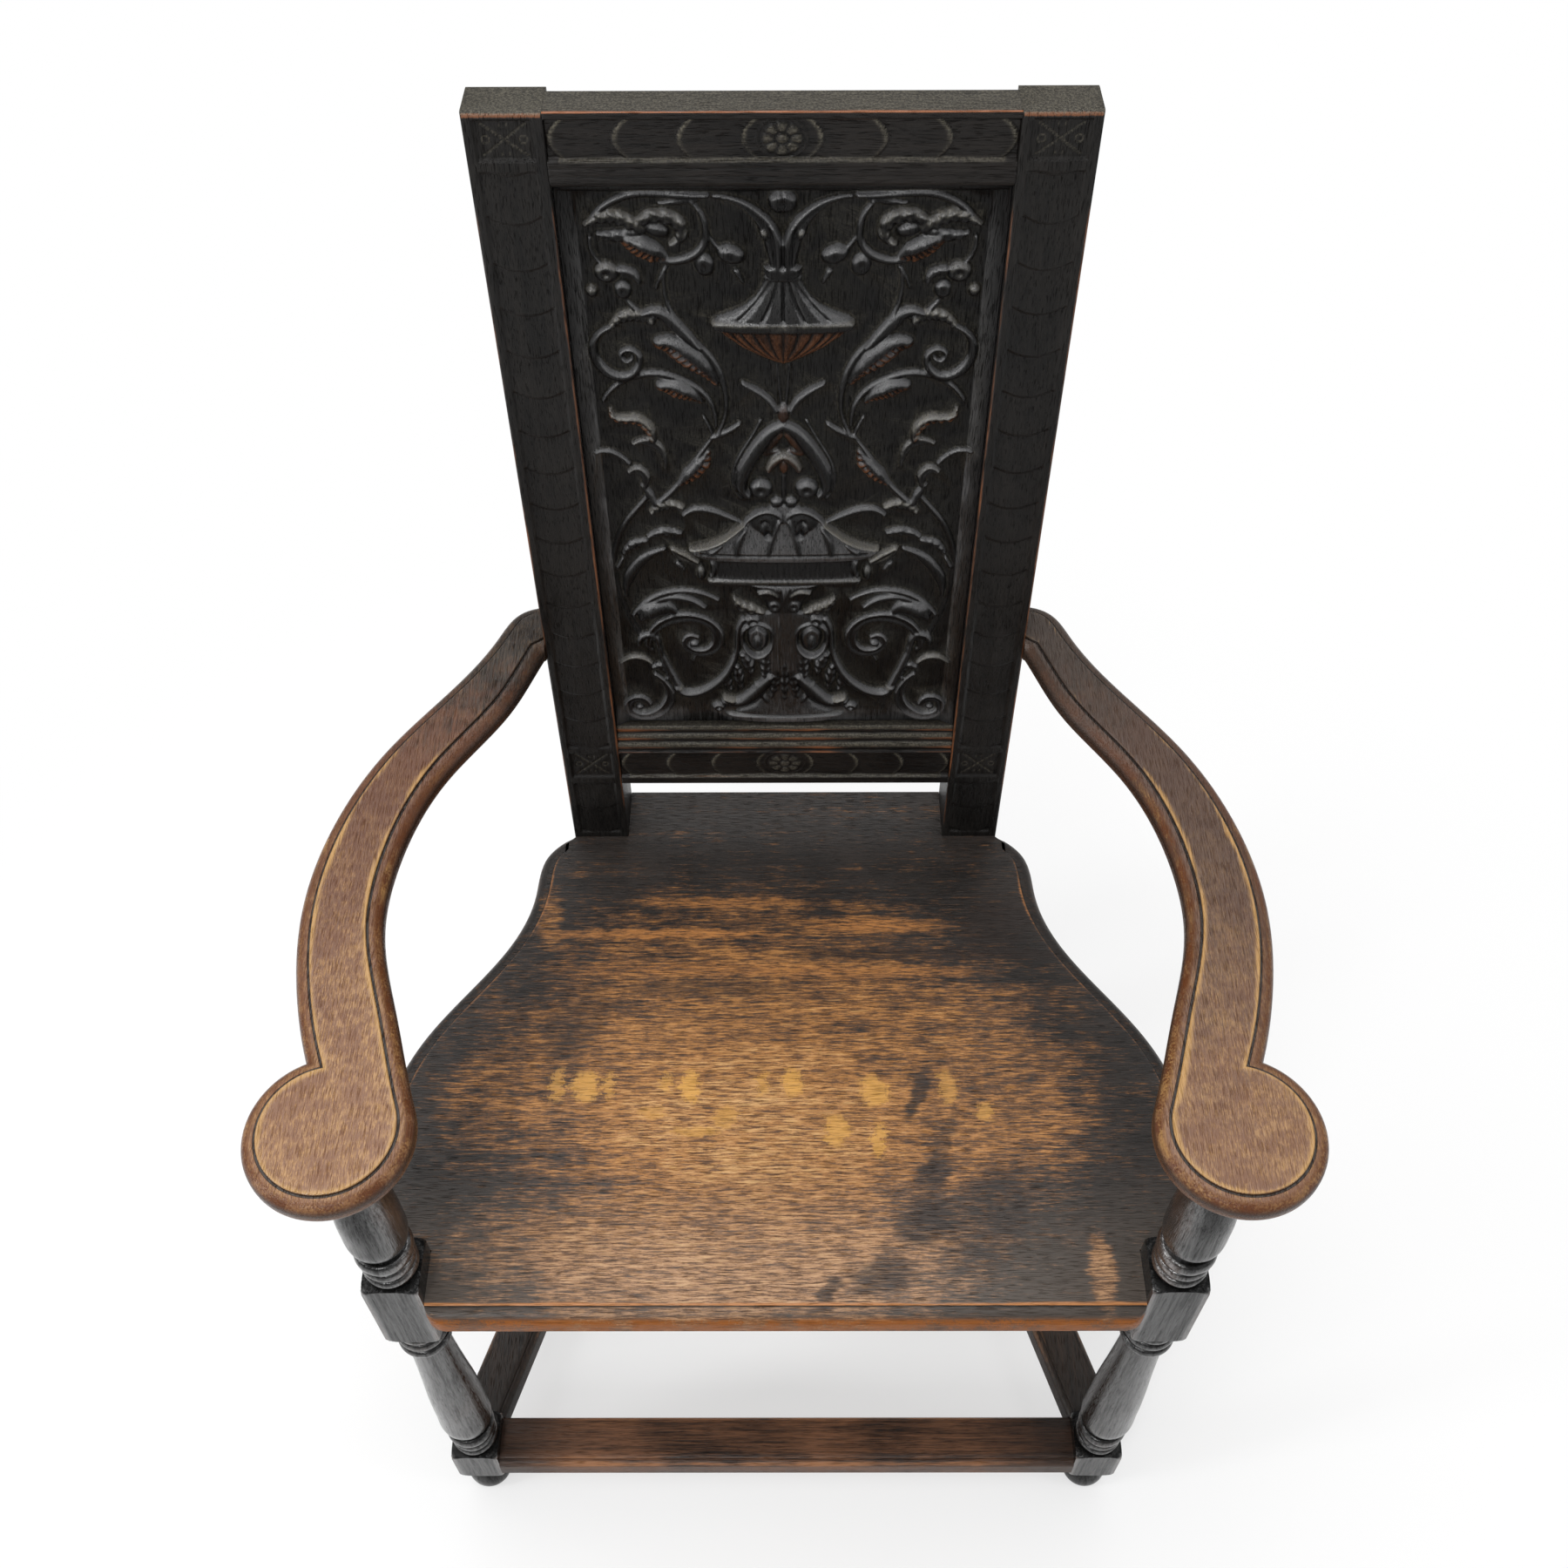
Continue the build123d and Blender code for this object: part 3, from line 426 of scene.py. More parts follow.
# ------------------------------------------------------------------ back rails
# Two cross rails of oak are tenoned between the stiles. Each has a sunk field with gouged
# lunettes on both sides of a small rosette. The lower one has three reeds above the field.
rail_thickness = 24.5
rail_stations = 265
top_rail_low = 591.0
bottom_rail_low = 69.0
bottom_rail_high = 131.0
ovolo_radius = 6.0
step_lines = (599.5, 604.5)
step_line_depth = 0.7
reeds_low = 108.0
reed_height = 23.0 / 3
reed_step = 7.0 / 3
lunette_first = 14.5
lunette_pitch = 36.0
lunette_bulge = 8.0
lunette_depth = 1.1


def rosette(x, height, middle, radius_x, radius_h):
    """Height of a rosette of eight petals round a button, in a shallow ring."""
    u = x / radius_x
    v = (height - middle) / radius_h
    radius = np.hypot(u, v)
    petal = np.abs(np.sin(np.arctan2(v, u) * 4 + pi / 2))
    petals = 1.5 * np.sqrt(petal) * ease(radius, 0.30, 0.42) * ease(-radius, -0.94, -0.72)
    button = 1.9 * np.sqrt(np.clip(1 - (radius / 0.27) ** 2, 0, 1))
    rim = 0.9 * spike(np.abs(radius - 1.04), 0.07)
    return np.maximum.reduce([petals, button, rim])


def lunette_place(x, height, low, high):
    """How far out of the first bowed edge a point lies, and its share of the lunette it is in."""
    middle = (low + high) / 2
    bow = lunette_bulge * (1 - ((height - middle) / (high - low) * 2) ** 2)
    outward = np.abs(x) - lunette_first - bow
    return outward, np.mod(outward, lunette_pitch) / lunette_pitch


def back_rail(name, face, face_depth, edge, field, radii):
    """A cross rail from its section. face holds height, wear and painted highlight of the points of its
    carved face, edge holds depth, height, wear and dust of the points that go on round the back of it."""
    heights, face_wear, face_highlight = np.array(face).T
    edge_depth, edge_height, edge_wear, edge_dust = np.array(edge).T
    row_height = np.concatenate([heights, edge_height])
    middle = sum(field) / 2
    rings = []
    for x in np.linspace(-stile_inner, stile_inner, rail_stations):
        flower = rosette(np.full_like(heights, x), heights, middle, *radii)
        outward, share = lunette_place(x, heights, *field)
        # each lunette is cut deepest outside its bowed edge
        cut = lunette_depth * (1 - share) ** 1.7 * ease(share, 0.0, 0.03)
        cut = np.where(outward > 0, cut, lunette_depth * 0.9)
        carved = np.maximum(field_depth - lunette_depth * 0.7 + cut - flower, 0.2)
        carved *= field_mask(heights, *field, 0.5)
        raised = 0.35 * ease(-carved, -1.7, -0.9) * (carved > 0.1)
        # painted highlight: a pale lip where each lunette meets the next, brighter on the upper half of the
        # field
        lip_highlight = ease(share, 0.91, 0.98) * (outward > -2.5) * (carved > 1.5)
        lip_highlight *= 0.22 + 0.55 * ease(heights, middle - 5.0, middle + 5.0)
        petals = 0.40 * ease(flower, 0.7, 1.3)
        # painted highlight: a pale line along the foot of the field
        foot_line_highlight = 0.55 * np.exp(-(((heights - field[0]) / 0.8) ** 2)) * (abs(x) < stile_inner - 6.0)
        # dust on the rosette's petals, with the painted highlights of the lunettes, the reeds and the field's
        # foot
        rail_dust_and_highlight = np.maximum.reduce([face_highlight, lip_highlight, petals, foot_line_highlight])
        row_depth = np.concatenate([face_depth(heights) + carved, edge_depth])
        marks = {
            "worn": np.concatenate([face_wear + raised, edge_wear]),
            "dust": np.concatenate([rail_dust_and_highlight, edge_dust]),
        }
        rings.append((on_back(np.full_like(row_depth, x), row_depth, row_height), marks))
    return ringed(name, rings, rail_oak)


rail_oak = oak(
    "carved_rail_oak",
    along="X",
    dark=(0.0022, 0.0019, 0.0018),
    body=(0.0140, 0.0115, 0.0100),
    worn=(0.24, 0.080, 0.026),
    gloss=0.38,
    shine=0.24,
    seed=1.7,
)


def top_rail_face(height):
    """The ovolo along the lower edge, step lines above it, then the flat face."""
    drop = np.clip(top_rail_low + ovolo_radius - height, 0.0, ovolo_radius)
    lines = sum(step_line_depth * spike(np.abs(height - line), line_half) for line in step_lines)
    return ovolo_radius - np.sqrt(ovolo_radius**2 - drop**2) + lines


top_face = [(height, 0.0, 0.0) for height in np.linspace(top_rail_low + 0.2, top_rail_low + ovolo_radius, 8)]
top_face += [(height, 0.0, 0.0) for height in np.arange(top_rail_low + 7.0, back_length - 1.5, 0.8)]
top_face += [(back_length - 1.0, 0.2, 0.0), (back_length - 0.5, 0.8, 0.0)]
top_edge = [
    (0.35, back_length - 0.15, 0.9, 0.0),
    (1.0, back_length, 0.5, 0.1),
    (1.8, back_length, 0.0, 0.5),
    (rail_thickness - 1, back_length, 0.0, 0.6),
    (rail_thickness, back_length - 1, 0.0, 0.3),
    (rail_thickness, top_rail_low, 0.0, 0.0),
    (ovolo_radius, top_rail_low, 0.0, 0.0),
]
top_rail = back_rail("back_top_rail_carved", top_face, top_rail_face, top_edge, top_field, (13.5, 11.5))
place(top_rail, "back_top_rail")


def bottom_rail_face(height):
    """Flat below, then three reeds that step back towards the panel."""
    rise = np.clip(height - reeds_low, 0.0, 3 * reed_height - 0.01)
    number = np.floor(rise / reed_height)
    within = rise / reed_height - number
    crown = 1.2 * np.sqrt(np.clip(1 - (2 * within - 1) ** 2, 0, 1))
    reeded = (number + 1) * reed_step - crown
    return np.where(height > reeds_low, reeded, 0.0)


bottom_face = [(bottom_rail_low + 0.6, 0.3, 0.0)]
for height in np.arange(bottom_rail_low + 1.5, reeds_low, 0.8):
    bottom_face.append((height, 0.5 * ease(height, low_field[1] + 0.5, reeds_low - 0.5), 0.0))
for height in np.linspace(reeds_low + 0.02, bottom_rail_high - 0.1, 34):
    within = ((height - reeds_low) % reed_height) / reed_height
    # the crowns are rubbed; the upper flank of each reed takes a painted highlight
    bottom_face.append((height, 0.46 * sin(pi * within) ** 2, 0.55 * ease(within, 0.45, 0.75)))
bottom_edge = [
    (7.2, bottom_rail_high, 0.0, 0.3),
    (rail_thickness, bottom_rail_high, 0.0, 0.0),
    (rail_thickness, bottom_rail_low, 0.0, 0.0),
    (1.0, bottom_rail_low, 0.0, 0.0),
    (0.3, bottom_rail_low + 0.2, 0.3, 0.0),
]
bottom_rail = back_rail(
    "back_bottom_rail_carved", bottom_face, bottom_rail_face, bottom_edge, low_field, (15.5, 12.5)
)
place(bottom_rail, "back_bottom_rail")


# ------------------------------------------------------------------ back panel
# One wide oak board, held loose in the grooves of its frame. A flat margin is left round a sunk
# ground, and a vase with flowers, scrolls and leaves is carved out of the same board.
panel_half = stile_inner - 0.2
panel_low = bottom_rail_high + 0.2
panel_high = top_rail_low - 0.2
panel_face = 7.0
ground_depth = 12.5
panel_back = 19.0
bevel_width = 10.0
top_bevel_width = 4.0
ground_half = panel_half - 0.6
ground_high = 586.0
ground_end = ground_high + 2.0
# heights between which the foot of the ground is greyed with a painted sheen
foot_sheen_heights = (138.0, 158.0)
relief_gain = 1.3
cell = 0.8  # the width of the net's meshes


def smooth_curve(points, count, start_way=None, end_way=None):
    """Points along a smooth curve through given points, evenly spaced in the curve's parameter."""
    points = np.array(points, dtype=float)
    size = len(points)
    if size == 2:
        return points[0] + (points[1] - points[0]) * np.linspace(0, 1, count)[:, None]
    steps = np.linalg.norm(np.diff(points, axis=0), axis=1)
    ways = np.diff(points, axis=0) / steps[:, None]
    before = steps[:-1]
    after = steps[1:]
    inner = np.arange(1, size - 1)
    table = np.eye(size)
    table[inner, inner - 1] = after
    table[inner, inner] = 2 * (before + after)
    table[inner, inner + 1] = before
    right = np.zeros_like(points)
    right[1:-1] = 3 * (ways[1:] * before[:, None] + ways[:-1] * after[:, None])
    right[0] = ways[0] + (ways[0] - ways[1]) * steps[0] / (steps[0] + steps[1])
    right[-1] = ways[-1] + (ways[-1] - ways[-2]) * steps[-1] / (steps[-1] + steps[-2])
    if start_way is not None:
        right[0] = np.array(start_way) / np.linalg.norm(start_way)
    if end_way is not None:
        right[-1] = np.array(end_way) / np.linalg.norm(end_way)
    slopes = np.linalg.solve(table, right)
    knots = np.concatenate([[0.0], np.cumsum(steps)])
    where = np.linspace(0.0, knots[-1], count)
    spans = np.clip(np.searchsorted(knots, where, side="right") - 1, 0, size - 2)
    length = steps[spans][:, None]
    share = (where[:, None] - knots[spans][:, None]) / length
    square = share * share
    cube = square * share
    return (
        (2 * cube - 3 * square + 1) * points[spans]
        + (cube - 2 * square + share) * length * slopes[spans]
        + (3 * square - 2 * cube) * points[spans + 1]
        + (cube - square) * length * slopes[spans + 1]
    )


class Carving:
    """The height of the carving above its ground, on a fine net of places. x is 0 or less."""

    def __init__(self):
        self.x = np.arange(-ground_half, cell / 2, cell)
        self.h = np.arange(panel_low, ground_end + cell / 2, cell)
        self.height, self.warm, self.pale, self.sheen = np.zeros((4, len(self.h), len(self.x)))

    def window(self, low_x, high_x, low_h, high_h):
        """The part of the net between two corners, as rows and columns, and its places."""
        columns = slice(*np.searchsorted(self.x, (low_x, high_x)))
        rows = slice(*np.searchsorted(self.h, (low_h, high_h)))
        x, h = np.meshgrid(self.x[columns], self.h[rows])
        return (rows, columns), x, h

    def raise_to(self, part, height, warm, pale, sheen=0.0):
        """Where a form stands higher than what is there, it and its marks take its place."""
        raised = height > self.height[part]
        marks = ((self.height, height), (self.warm, warm), (self.pale, pale), (self.sheen, sheen))
        for mark, value in marks:
            mark[part] = np.where(raised, value, mark[part])

    def stroke(self, points, widths, height, form="round", ribs=0, warm=0.0, pale=0.0):
        """A rounded band along a curve. widths are half widths, spread evenly from end to end. The
        form "fringe" is ribbed and warm along its right side only."""
        length = np.linalg.norm(np.diff(np.array(points, dtype=float), axis=0), axis=1).sum()
        count = max(int(length / 0.7), 12)
        line = smooth_curve(points, count)
        share = np.linspace(0, 1, count)
        half, heights = [
            np.interp(share, np.linspace(0, 1, np.size(given)), np.atleast_1d(given))
            for given in (widths, height)
        ]
        low = line.min(axis=0) - half.max() - 1
        high = line.max(axis=0) + half.max() + 1
        part, x, h = self.window(low[0], high[0], low[1], high[1])
        scaled = np.hypot(x[..., None] - line[:, 0], h[..., None] - line[:, 1]) / half
        nearest = scaled.argmin(axis=-1)
        across = np.take_along_axis(scaled, nearest[..., None], -1)[..., 0]
        way = np.gradient(line, axis=0)
        way /= np.linalg.norm(way, axis=1)[:, None]
        side = (x - line[nearest, 0]) * -way[nearest, 1] + (h - line[nearest, 1]) * way[nearest, 0]
        signed = np.sign(side) * across
        dome = np.sqrt(np.clip(1 - across**2, 0, 1))
        if form == "ridge":
            dome = np.clip(1 - across, 0, 1) ** 0.7
        if form == "channel":
            dome = dome**0.6 * (0.62 + 0.38 * np.clip(across / 0.7, 0, 1) ** 2)
        if form == "leaf":
            dome = dome**0.8 * (0.72 + 0.28 * np.clip(np.abs(signed) / 0.5, 0, 1))
        wave = np.cos(2 * pi * (share[nearest] * ribs + 0.35 * across))
        if form == "fringe":
            edge = ease(-signed, -0.15, 0.15)
            dome = dome * (1 - 0.30 * (1 - wave) * edge)
            warm = np.maximum(warm, 0.9 * edge)
        elif ribs:
            dome = dome * (1 - 0.20 * (1 - wave) * ease(across, 0.15, 0.5))
        self.raise_to(part, np.where(across < 1, heights[nearest] * dome, 0.0), warm, pale)

    def boss(self, centre, radii, height, turn=0.0, hollow=0.0, warm=0.0, pale=0.0):
        """A domed oval, turned by an angle in degrees, with an optional hollow in its middle."""
        reach = max(radii) + 1
        middle_x, middle_h = centre
        part, x, h = self.window(middle_x - reach, middle_x + reach, middle_h - reach, middle_h + reach)
        c, s = cos(radians(turn)), sin(radians(turn))
        u = ((x - middle_x) * c + (h - middle_h) * s) / radii[0]
        v = (-(x - middle_x) * s + (h - middle_h) * c) / radii[1]
        radius = np.hypot(u, v)
        top = height * np.sqrt(np.clip(1 - radius**2, 0, 1)) - hollow * spike(radius, 0.5)
        self.raise_to(part, np.where(radius < 1, top, 0.0), warm, pale)

    def cut(self, points, widths, depth):
        """A groove along a curve, down into what is already raised."""
        keep = self.height.copy()
        self.height = np.zeros_like(keep)
        self.stroke(points, widths, depth, form="ridge")
        self.height = np.maximum(keep - self.height, np.minimum(keep, 0.0))

    def turned(self, outline, height, ribs=0, rib_depth=0.0, crown=0.55, warm=0.0, pale=0.0, sheen=0.0):
        """A half-round body, from its half widths at heights. height is one value, or one for each
        point of the outline. ribs cross its whole width."""
        levels, halves = np.array(outline, dtype=float).T
        part, x, h = self.window(-halves.max() - 1, 1, levels[0], levels[-1])
        half = np.interp(h, levels, halves)
        across = np.clip(np.abs(x) / np.maximum(half, 0.01), 0, 1)
        dome = np.clip(1 - across**2, 0, 1) ** crown
        if ribs:
            wave = np.abs(np.sin(np.arcsin(across) * ribs))
            dome = dome - rib_depth * (1 - wave**0.7)
        if np.ndim(height):
            height = np.interp(h, levels, height)
        top = np.where(np.abs(x) < half, height * np.clip(dome, 0.05, 1), 0.0)
        self.raise_to(part, top, warm, pale, sheen)


carving = Carving()
stroke = carving.stroke
boss = carving.boss
cut = carving.cut
turned = carving.turned


def leaf(points, widths, height, **marks):
    stroke(points, widths, height, "leaf", **marks)


def fringe(points, widths, height, **marks):
    stroke(points, widths, height, "fringe", **marks)


# Top scroll with its acanthus leaf
stroke([(-113, 566), (-107, 573), (-98, 579), (-86, 583), (-70, 583), (-55, 582), (-44, 582)],
       [1.6, 2.6, 2.8, 2.6, 2.0], 3.0)
stroke([(-72, 577), (-60, 578), (-50, 579)], [1.0, 2.6, 1.2], 2.4)
stroke([(-53, 578), (-48, 571), (-45.5, 561), (-46.5, 551), (-52, 544), (-61, 540), (-72, 540)],
       [1.2, 2.0, 2.6, 3.2, 2.6], 3.4)
stroke([(-114, 555), (-114, 547), (-111, 540), (-107, 536)], [1.2, 1.4, 1.2], 2.2)
leaf([(-116, 564), (-108, 568), (-98, 569), (-89, 565), (-83, 562)], [1.4, 4.6, 5.0, 3.4], 5.0, ribs=6,
     pale=0.45)
leaf([(-109, 558), (-99, 556), (-89, 558), (-82, 560)], [1.4, 4.2, 3.8, 2.0], 4.0, ribs=4)
leaf([(-86, 563), (-78, 569), (-69, 569), (-61, 564), (-60, 556), (-66, 551)], [2.6, 4.8, 5.0, 4.2, 2.2],
     5.0, ribs=6, pale=0.3)
boss((-74, 560), (7.5, 5.0), 4.0, turn=-20)
fringe([(-91, 553), (-85, 550), (-78, 546), (-71, 542)], [5.4, 7.8, 7.4, 3.2], [5.0, 6.6, 6.0, 3.0],
       ribs=7)

# Flower with three buds, and its stem
boss((-106, 532), (7.6, 7.4), 5.0, hollow=2.4, pale=0.2)
stroke([(-98, 534), (-91, 532), (-87, 525)], [2.2, 3.4, 1.6], 4.0)
boss((-97, 520), (5.4, 6.6), 4.4, hollow=1.4)
boss((-116, 519), (3.6, 4.6), 4.0, pale=0.35)
stroke([(-96, 514), (-92, 508), (-86, 503), (-78, 500)], [1.6, 2.0, 2.0], 2.8)

# Berries under the ring
boss((-47, 537), (6.2, 8.2), 4.8, turn=8, hollow=1.6)
boss((-31, 544), (8.8, 6.4), 5.6, turn=-22, hollow=1.0)
stroke([(-45, 558), (-41, 551), (-37, 546)], [1.4, 1.6], 2.2)
stroke([(-28, 532), (-24, 524)], [2.2, 0.8], 2.4)

# Long S-stem beside the vase, with its small fork
stroke([(-70, 535), (-74, 528), (-77, 520)], [1.6, 0.8], 2.2)
stroke([(-71, 534), (-72, 521), (-70, 508), (-64, 495), (-55, 483), (-46, 471), (-40, 457), (-37, 441),
        (-38, 426), (-43, 412)], [1.1, 1.5, 1.7, 2.1, 2.5, 2.5, 2.0, 1.5, 1.3], 3.0)

# Middle leaves and the volute they grow from
leaf([(-105, 496), (-98, 501), (-89, 502), (-81, 497)], [2.4, 4.6, 4.6, 2.4], 4.8, ribs=6, pale=0.4)
stroke([(-86, 504), (-77, 505), (-69, 498), (-61, 489), (-52, 479)], [1.6, 4.2, 4.8, 3.8, 1.6], 4.6)
fringe([(-76, 482), (-70, 481), (-61, 474), (-51, 464), (-43, 452)], [5.6, 8.8, 8.6, 5.4, 2.4],
       [5.0, 6.8, 6.2, 3.2], ribs=10)
stroke([(-104, 495), (-112, 491), (-118, 482), (-118, 471), (-113, 462), (-104, 457), (-96, 459),
        (-91, 466), (-91, 474), (-97, 478), (-102, 474), (-99, 469), (-95, 471)],
       [1.6, 2.2, 2.8, 3.4, 3.8, 3.8, 3.0, 2.2, 1.8, 1.5, 1.3], 4.0)

# Second arc with its leaf
stroke([(-116, 438), (-109, 448), (-99, 455), (-85, 459), (-71, 457), (-59, 451), (-50, 442), (-45, 430),
        (-44, 418)], [1.4, 2.2, 2.8, 2.8, 2.4, 1.8, 1.4], 3.0)
fringe([(-77, 450), (-70, 449), (-62, 445), (-53, 438)], [5.0, 7.8, 6.0, 2.0], [5.0, 6.6, 3.6], ribs=8)

# Left leaves below it
fringe([(-112, 432), (-110, 426), (-102, 424), (-94, 423), (-89, 418), (-86, 408)],
       [1.4, 3.4, 4.4, 4.4, 2.6], 4.8, ribs=8, pale=0.5)
leaf([(-99, 404), (-90, 406), (-84, 403), (-80, 396), (-79, 383)], [1.4, 3.4, 3.2, 2.0, 0.9], 3.6,
     pale=0.2)

# Cross leaf, diagonal stem and its long bud
stroke([(-29, 420), (-38, 413), (-47, 409)], [1.6, 2.8, 1.6], 3.4)
stroke([(-52, 425), (-48, 415), (-46, 409)], [1.0, 1.6, 1.2], 2.4)
stroke([(-46, 410), (-53, 399), (-60, 388), (-68, 374), (-77, 362), (-88, 351)],
       [1.4, 1.8, 2.2, 2.2, 2.6], 3.0)
fringe([(-69, 371), (-62, 379), (-54, 389), (-50, 397)], [3.0, 6.4, 6.2, 1.8], [4.0, 6.0, 5.4, 3.0],
       ribs=7)

# Outer bud stem and the long outer S-stem
stroke([(-124, 397), (-117, 398), (-109, 394), (-103, 387)], [1.6, 2.2, 1.6], 3.0)
leaf([(-103, 381), (-98, 383), (-93, 377), (-94, 369)], [2.0, 3.8, 3.4, 2.0], 4.2, pale=0.2)
stroke([(-95, 369), (-91, 361), (-88, 353)], [2.2, 3.2, 2.0], 3.6)
stroke([(-92, 360), (-100, 349), (-109, 336), (-116, 320), (-120, 304), (-120, 284), (-117, 262),
        (-113, 245), (-107, 228), (-99, 212)], [1.8, 2.2, 2.4, 2.2, 2.0, 1.8, 2.0, 2.2, 2.0],
       [2.8, 2.2, 1.2, 0.9, 0.9, 1.2, 2.6])
stroke([(-84, 312), (-95, 306), (-105, 295), (-112, 281), (-114, 266)], [1.8, 4.4, 4.4, 1.4],
       [3.0, 3.2, 2.2])
leaf([(-112, 309), (-106, 316), (-96, 320)], [2.0, 4.0, 1.8], 4.2, ribs=4)
leaf([(-94, 324), (-84, 328), (-72, 327)], [2.0, 4.0, 2.0], 4.4, ribs=3)
stroke([(-118, 294), (-114, 303)], [1.8, 1.2], 2.8)
leaf([(-90, 346), (-81, 352), (-70, 350)], [2.6, 5.0, 2.6], 4.8, ribs=5, pale=0.5)
stroke([(-69, 343), (-61, 348), (-51, 347), (-41, 343), (-30, 337)], [1.8, 3.0, 3.2, 2.2, 1.2], 3.6)

# Leaf of the lid's left tip and its drop
leaf([(-78, 313), (-71, 306), (-62, 301)], [2.2, 5.0, 2.6], 5.0, pale=0.6)
stroke([(-75, 298), (-71, 292)], [2.4, 1.2], 2.8)
boss((-59, 289), (3.2, 7.4), 4.0, pale=0.2)

# Great spiral at the foot, with its leaves
stroke([(-110, 248), (-103, 258), (-92, 267), (-76, 272), (-60, 270), (-48, 263)],
       [1.8, 2.4, 2.6, 2.4, 1.6], 3.2)
stroke([(-94, 262), (-80, 266), (-67, 263), (-58, 256)], [1.8, 3.6, 3.4, 1.6], 3.8)
stroke([(-104, 246), (-97, 254), (-89, 256), (-80, 251)], [3.4, 8.4, 8.0, 3.0], [4.2, 6.8, 5.4, 3.0])
stroke([(-101, 216), (-98, 229), (-89, 240), (-75, 246), (-61, 244), (-52, 236), (-49, 225), (-52, 215),
        (-60, 210), (-69, 212), (-74, 219), (-71, 226), (-65, 225)],
       [2.0, 3.4, 4.4, 4.8, 4.2, 4.0, 4.6, 4.8, 3.6, 2.6, 2.0], [3.4, 4.2, 4.6, 4.4, 4.6, 4.6, 3.8],
       "channel")
boss((-67, 219), (3.8, 3.8), 4.2)
stroke([(-66, 206), (-69, 200)], [2.0, 1.0], 2.4)
stroke([(-108, 218), (-104, 227), (-98, 228), (-94, 218), (-92, 208)], [2.0, 3.2, 2.8, 1.4], 3.8)
stroke([(-94, 214), (-91, 202), (-88, 191), (-84, 180), (-80, 170)], [2.0, 3.0, 3.4, 2.6], 3.6)
stroke([(-123, 199), (-116, 204), (-107, 204), (-100, 198)], [1.4, 2.8, 2.6, 1.4], 3.6, pale=0.45)
leaf([(-99, 194), (-93, 195), (-88, 189), (-89, 181)], [2.0, 3.8, 3.4, 1.8], 4.0, ribs=4)
stroke([(-98, 186), (-91, 176), (-88, 164), (-91, 152), (-99, 143), (-109, 139.5), (-118, 143),
        (-121, 151), (-117, 158.5), (-110, 159.5), (-105, 153)],
       [1.6, 2.4, 3.6, 4.8, 5.0, 4.4, 3.8, 3.6, 3.2, 2.2], 4.4, "channel")
boss((-112.5, 148.5), (3.4, 3.2), 2.6)

# Foot scrolls of the vase
stroke([(-30, 244), (-34, 232), (-35, 216), (-39, 198), (-46, 183), (-56, 172), (-67, 166), (-77, 166),
        (-82, 172)], [2.6, 2.4, 2.2, 2.4, 3.2, 4.0, 4.2, 4.0, 3.0], [3.8, 3.8, 4.4, 4.8])
boss((-81, 171), (3.8, 3.6), 4.6, pale=0.4)
stroke([(-11, 184), (-17, 174), (-25, 163), (-35, 156), (-45, 157)], [3.6, 5.8, 6.6, 5.8, 4.4], 5.4)
stroke([(-46, 162), (-40, 159)], [2.2, 3.2], 6.2, pale=0.6)
boss((-51, 150), (5.6, 5.2), 4.8, hollow=3.4)

# Vase, from its base up. Pairs are heights and half widths.
turned([(134, 34), (136, 40), (139.5, 45), (141, 46)], 4.4, crown=0.3)
turned([(143, 38), (147, 34), (153, 24), (162, 16), (176, 11), (186, 10)], [5.0, 4.6, 4.0, 3.4, 3.0, 2.8],
       crown=0.4, sheen=0.4)
turned([(186, 12), (198, 20), (214, 30), (230, 34), (241, 33), (247, 26), (252, 14)], 3.8, crown=0.35,
       sheen=0.3)
stroke([(-20, 241), (-11, 236), (-9, 224), (-12, 212), (-20, 206), (-28, 212), (-31, 224), (-29, 236),
        (-20, 241)], [2.0, 2.0], 5.2)
cut([(-20, 237), (-13, 232), (-13, 216), (-20, 210), (-27, 216), (-27, 232), (-20, 237)], [3.0, 3.0], 2.6)
boss((-20, 222), (3.6, 9.5), 5.4)
leaf([(-31, 207), (-28, 200), (-25, 189)], [3.2, 4.8, 1.8], 5.0, ribs=3)
leaf([(-14, 206), (-14, 198), (-16, 185)], [3.2, 5.0, 1.8], 5.2, ribs=3)
leaf([(-36, 194), (-35, 184), (-33, 172)], [2.4, 4.4, 1.6], 4.4, ribs=3)
leaf([(-43, 188), (-44, 179), (-41, 169)], [2.2, 4.2, 1.4], 4.2, ribs=3)
leaf([(-5, 190), (-7, 178), (-10, 162)], [2.6, 4.2, 1.0], 4.8, ribs=4)
leaf([(0, 196), (0, 180), (0, 160)], [2.4, 4.0, 1.0], 5.4, ribs=4)
leaf([(-22, 176), (-20, 168), (-13, 156)], [1.4, 3.0, 1.0], 4.0)
turned([(252, 12), (262, 15), (272, 22), (278, 27)], 3.8, crown=0.4)
leaf([(-36, 266), (-31, 258), (-24, 254), (-16, 252)], [1.4, 4.6, 5.4, 2.4], 5.6, ribs=4, pale=0.5)
boss((-23, 243), (6.4, 6.0), 5.2, hollow=2.4)
boss((-7, 258), (5.4, 6.8), 5.6, hollow=2.8)
stroke([(-18, 271), (-11, 272), (-5, 268)], [2.0, 3.4, 1.8], 5.0, pale=0.4)
turned([(280.5, 53), (281.5, 55), (284.5, 55), (285.5, 53)], 5.8, crown=0.12, pale=0.25)
turned([(285.5, 50), (304, 50)], [5.0, 3.6], ribs=40, rib_depth=0.12, crown=0.16)
stroke([(-52, 287), (-50, 294), (-51, 301)], [1.6, 2.4, 1.8], 4.8)
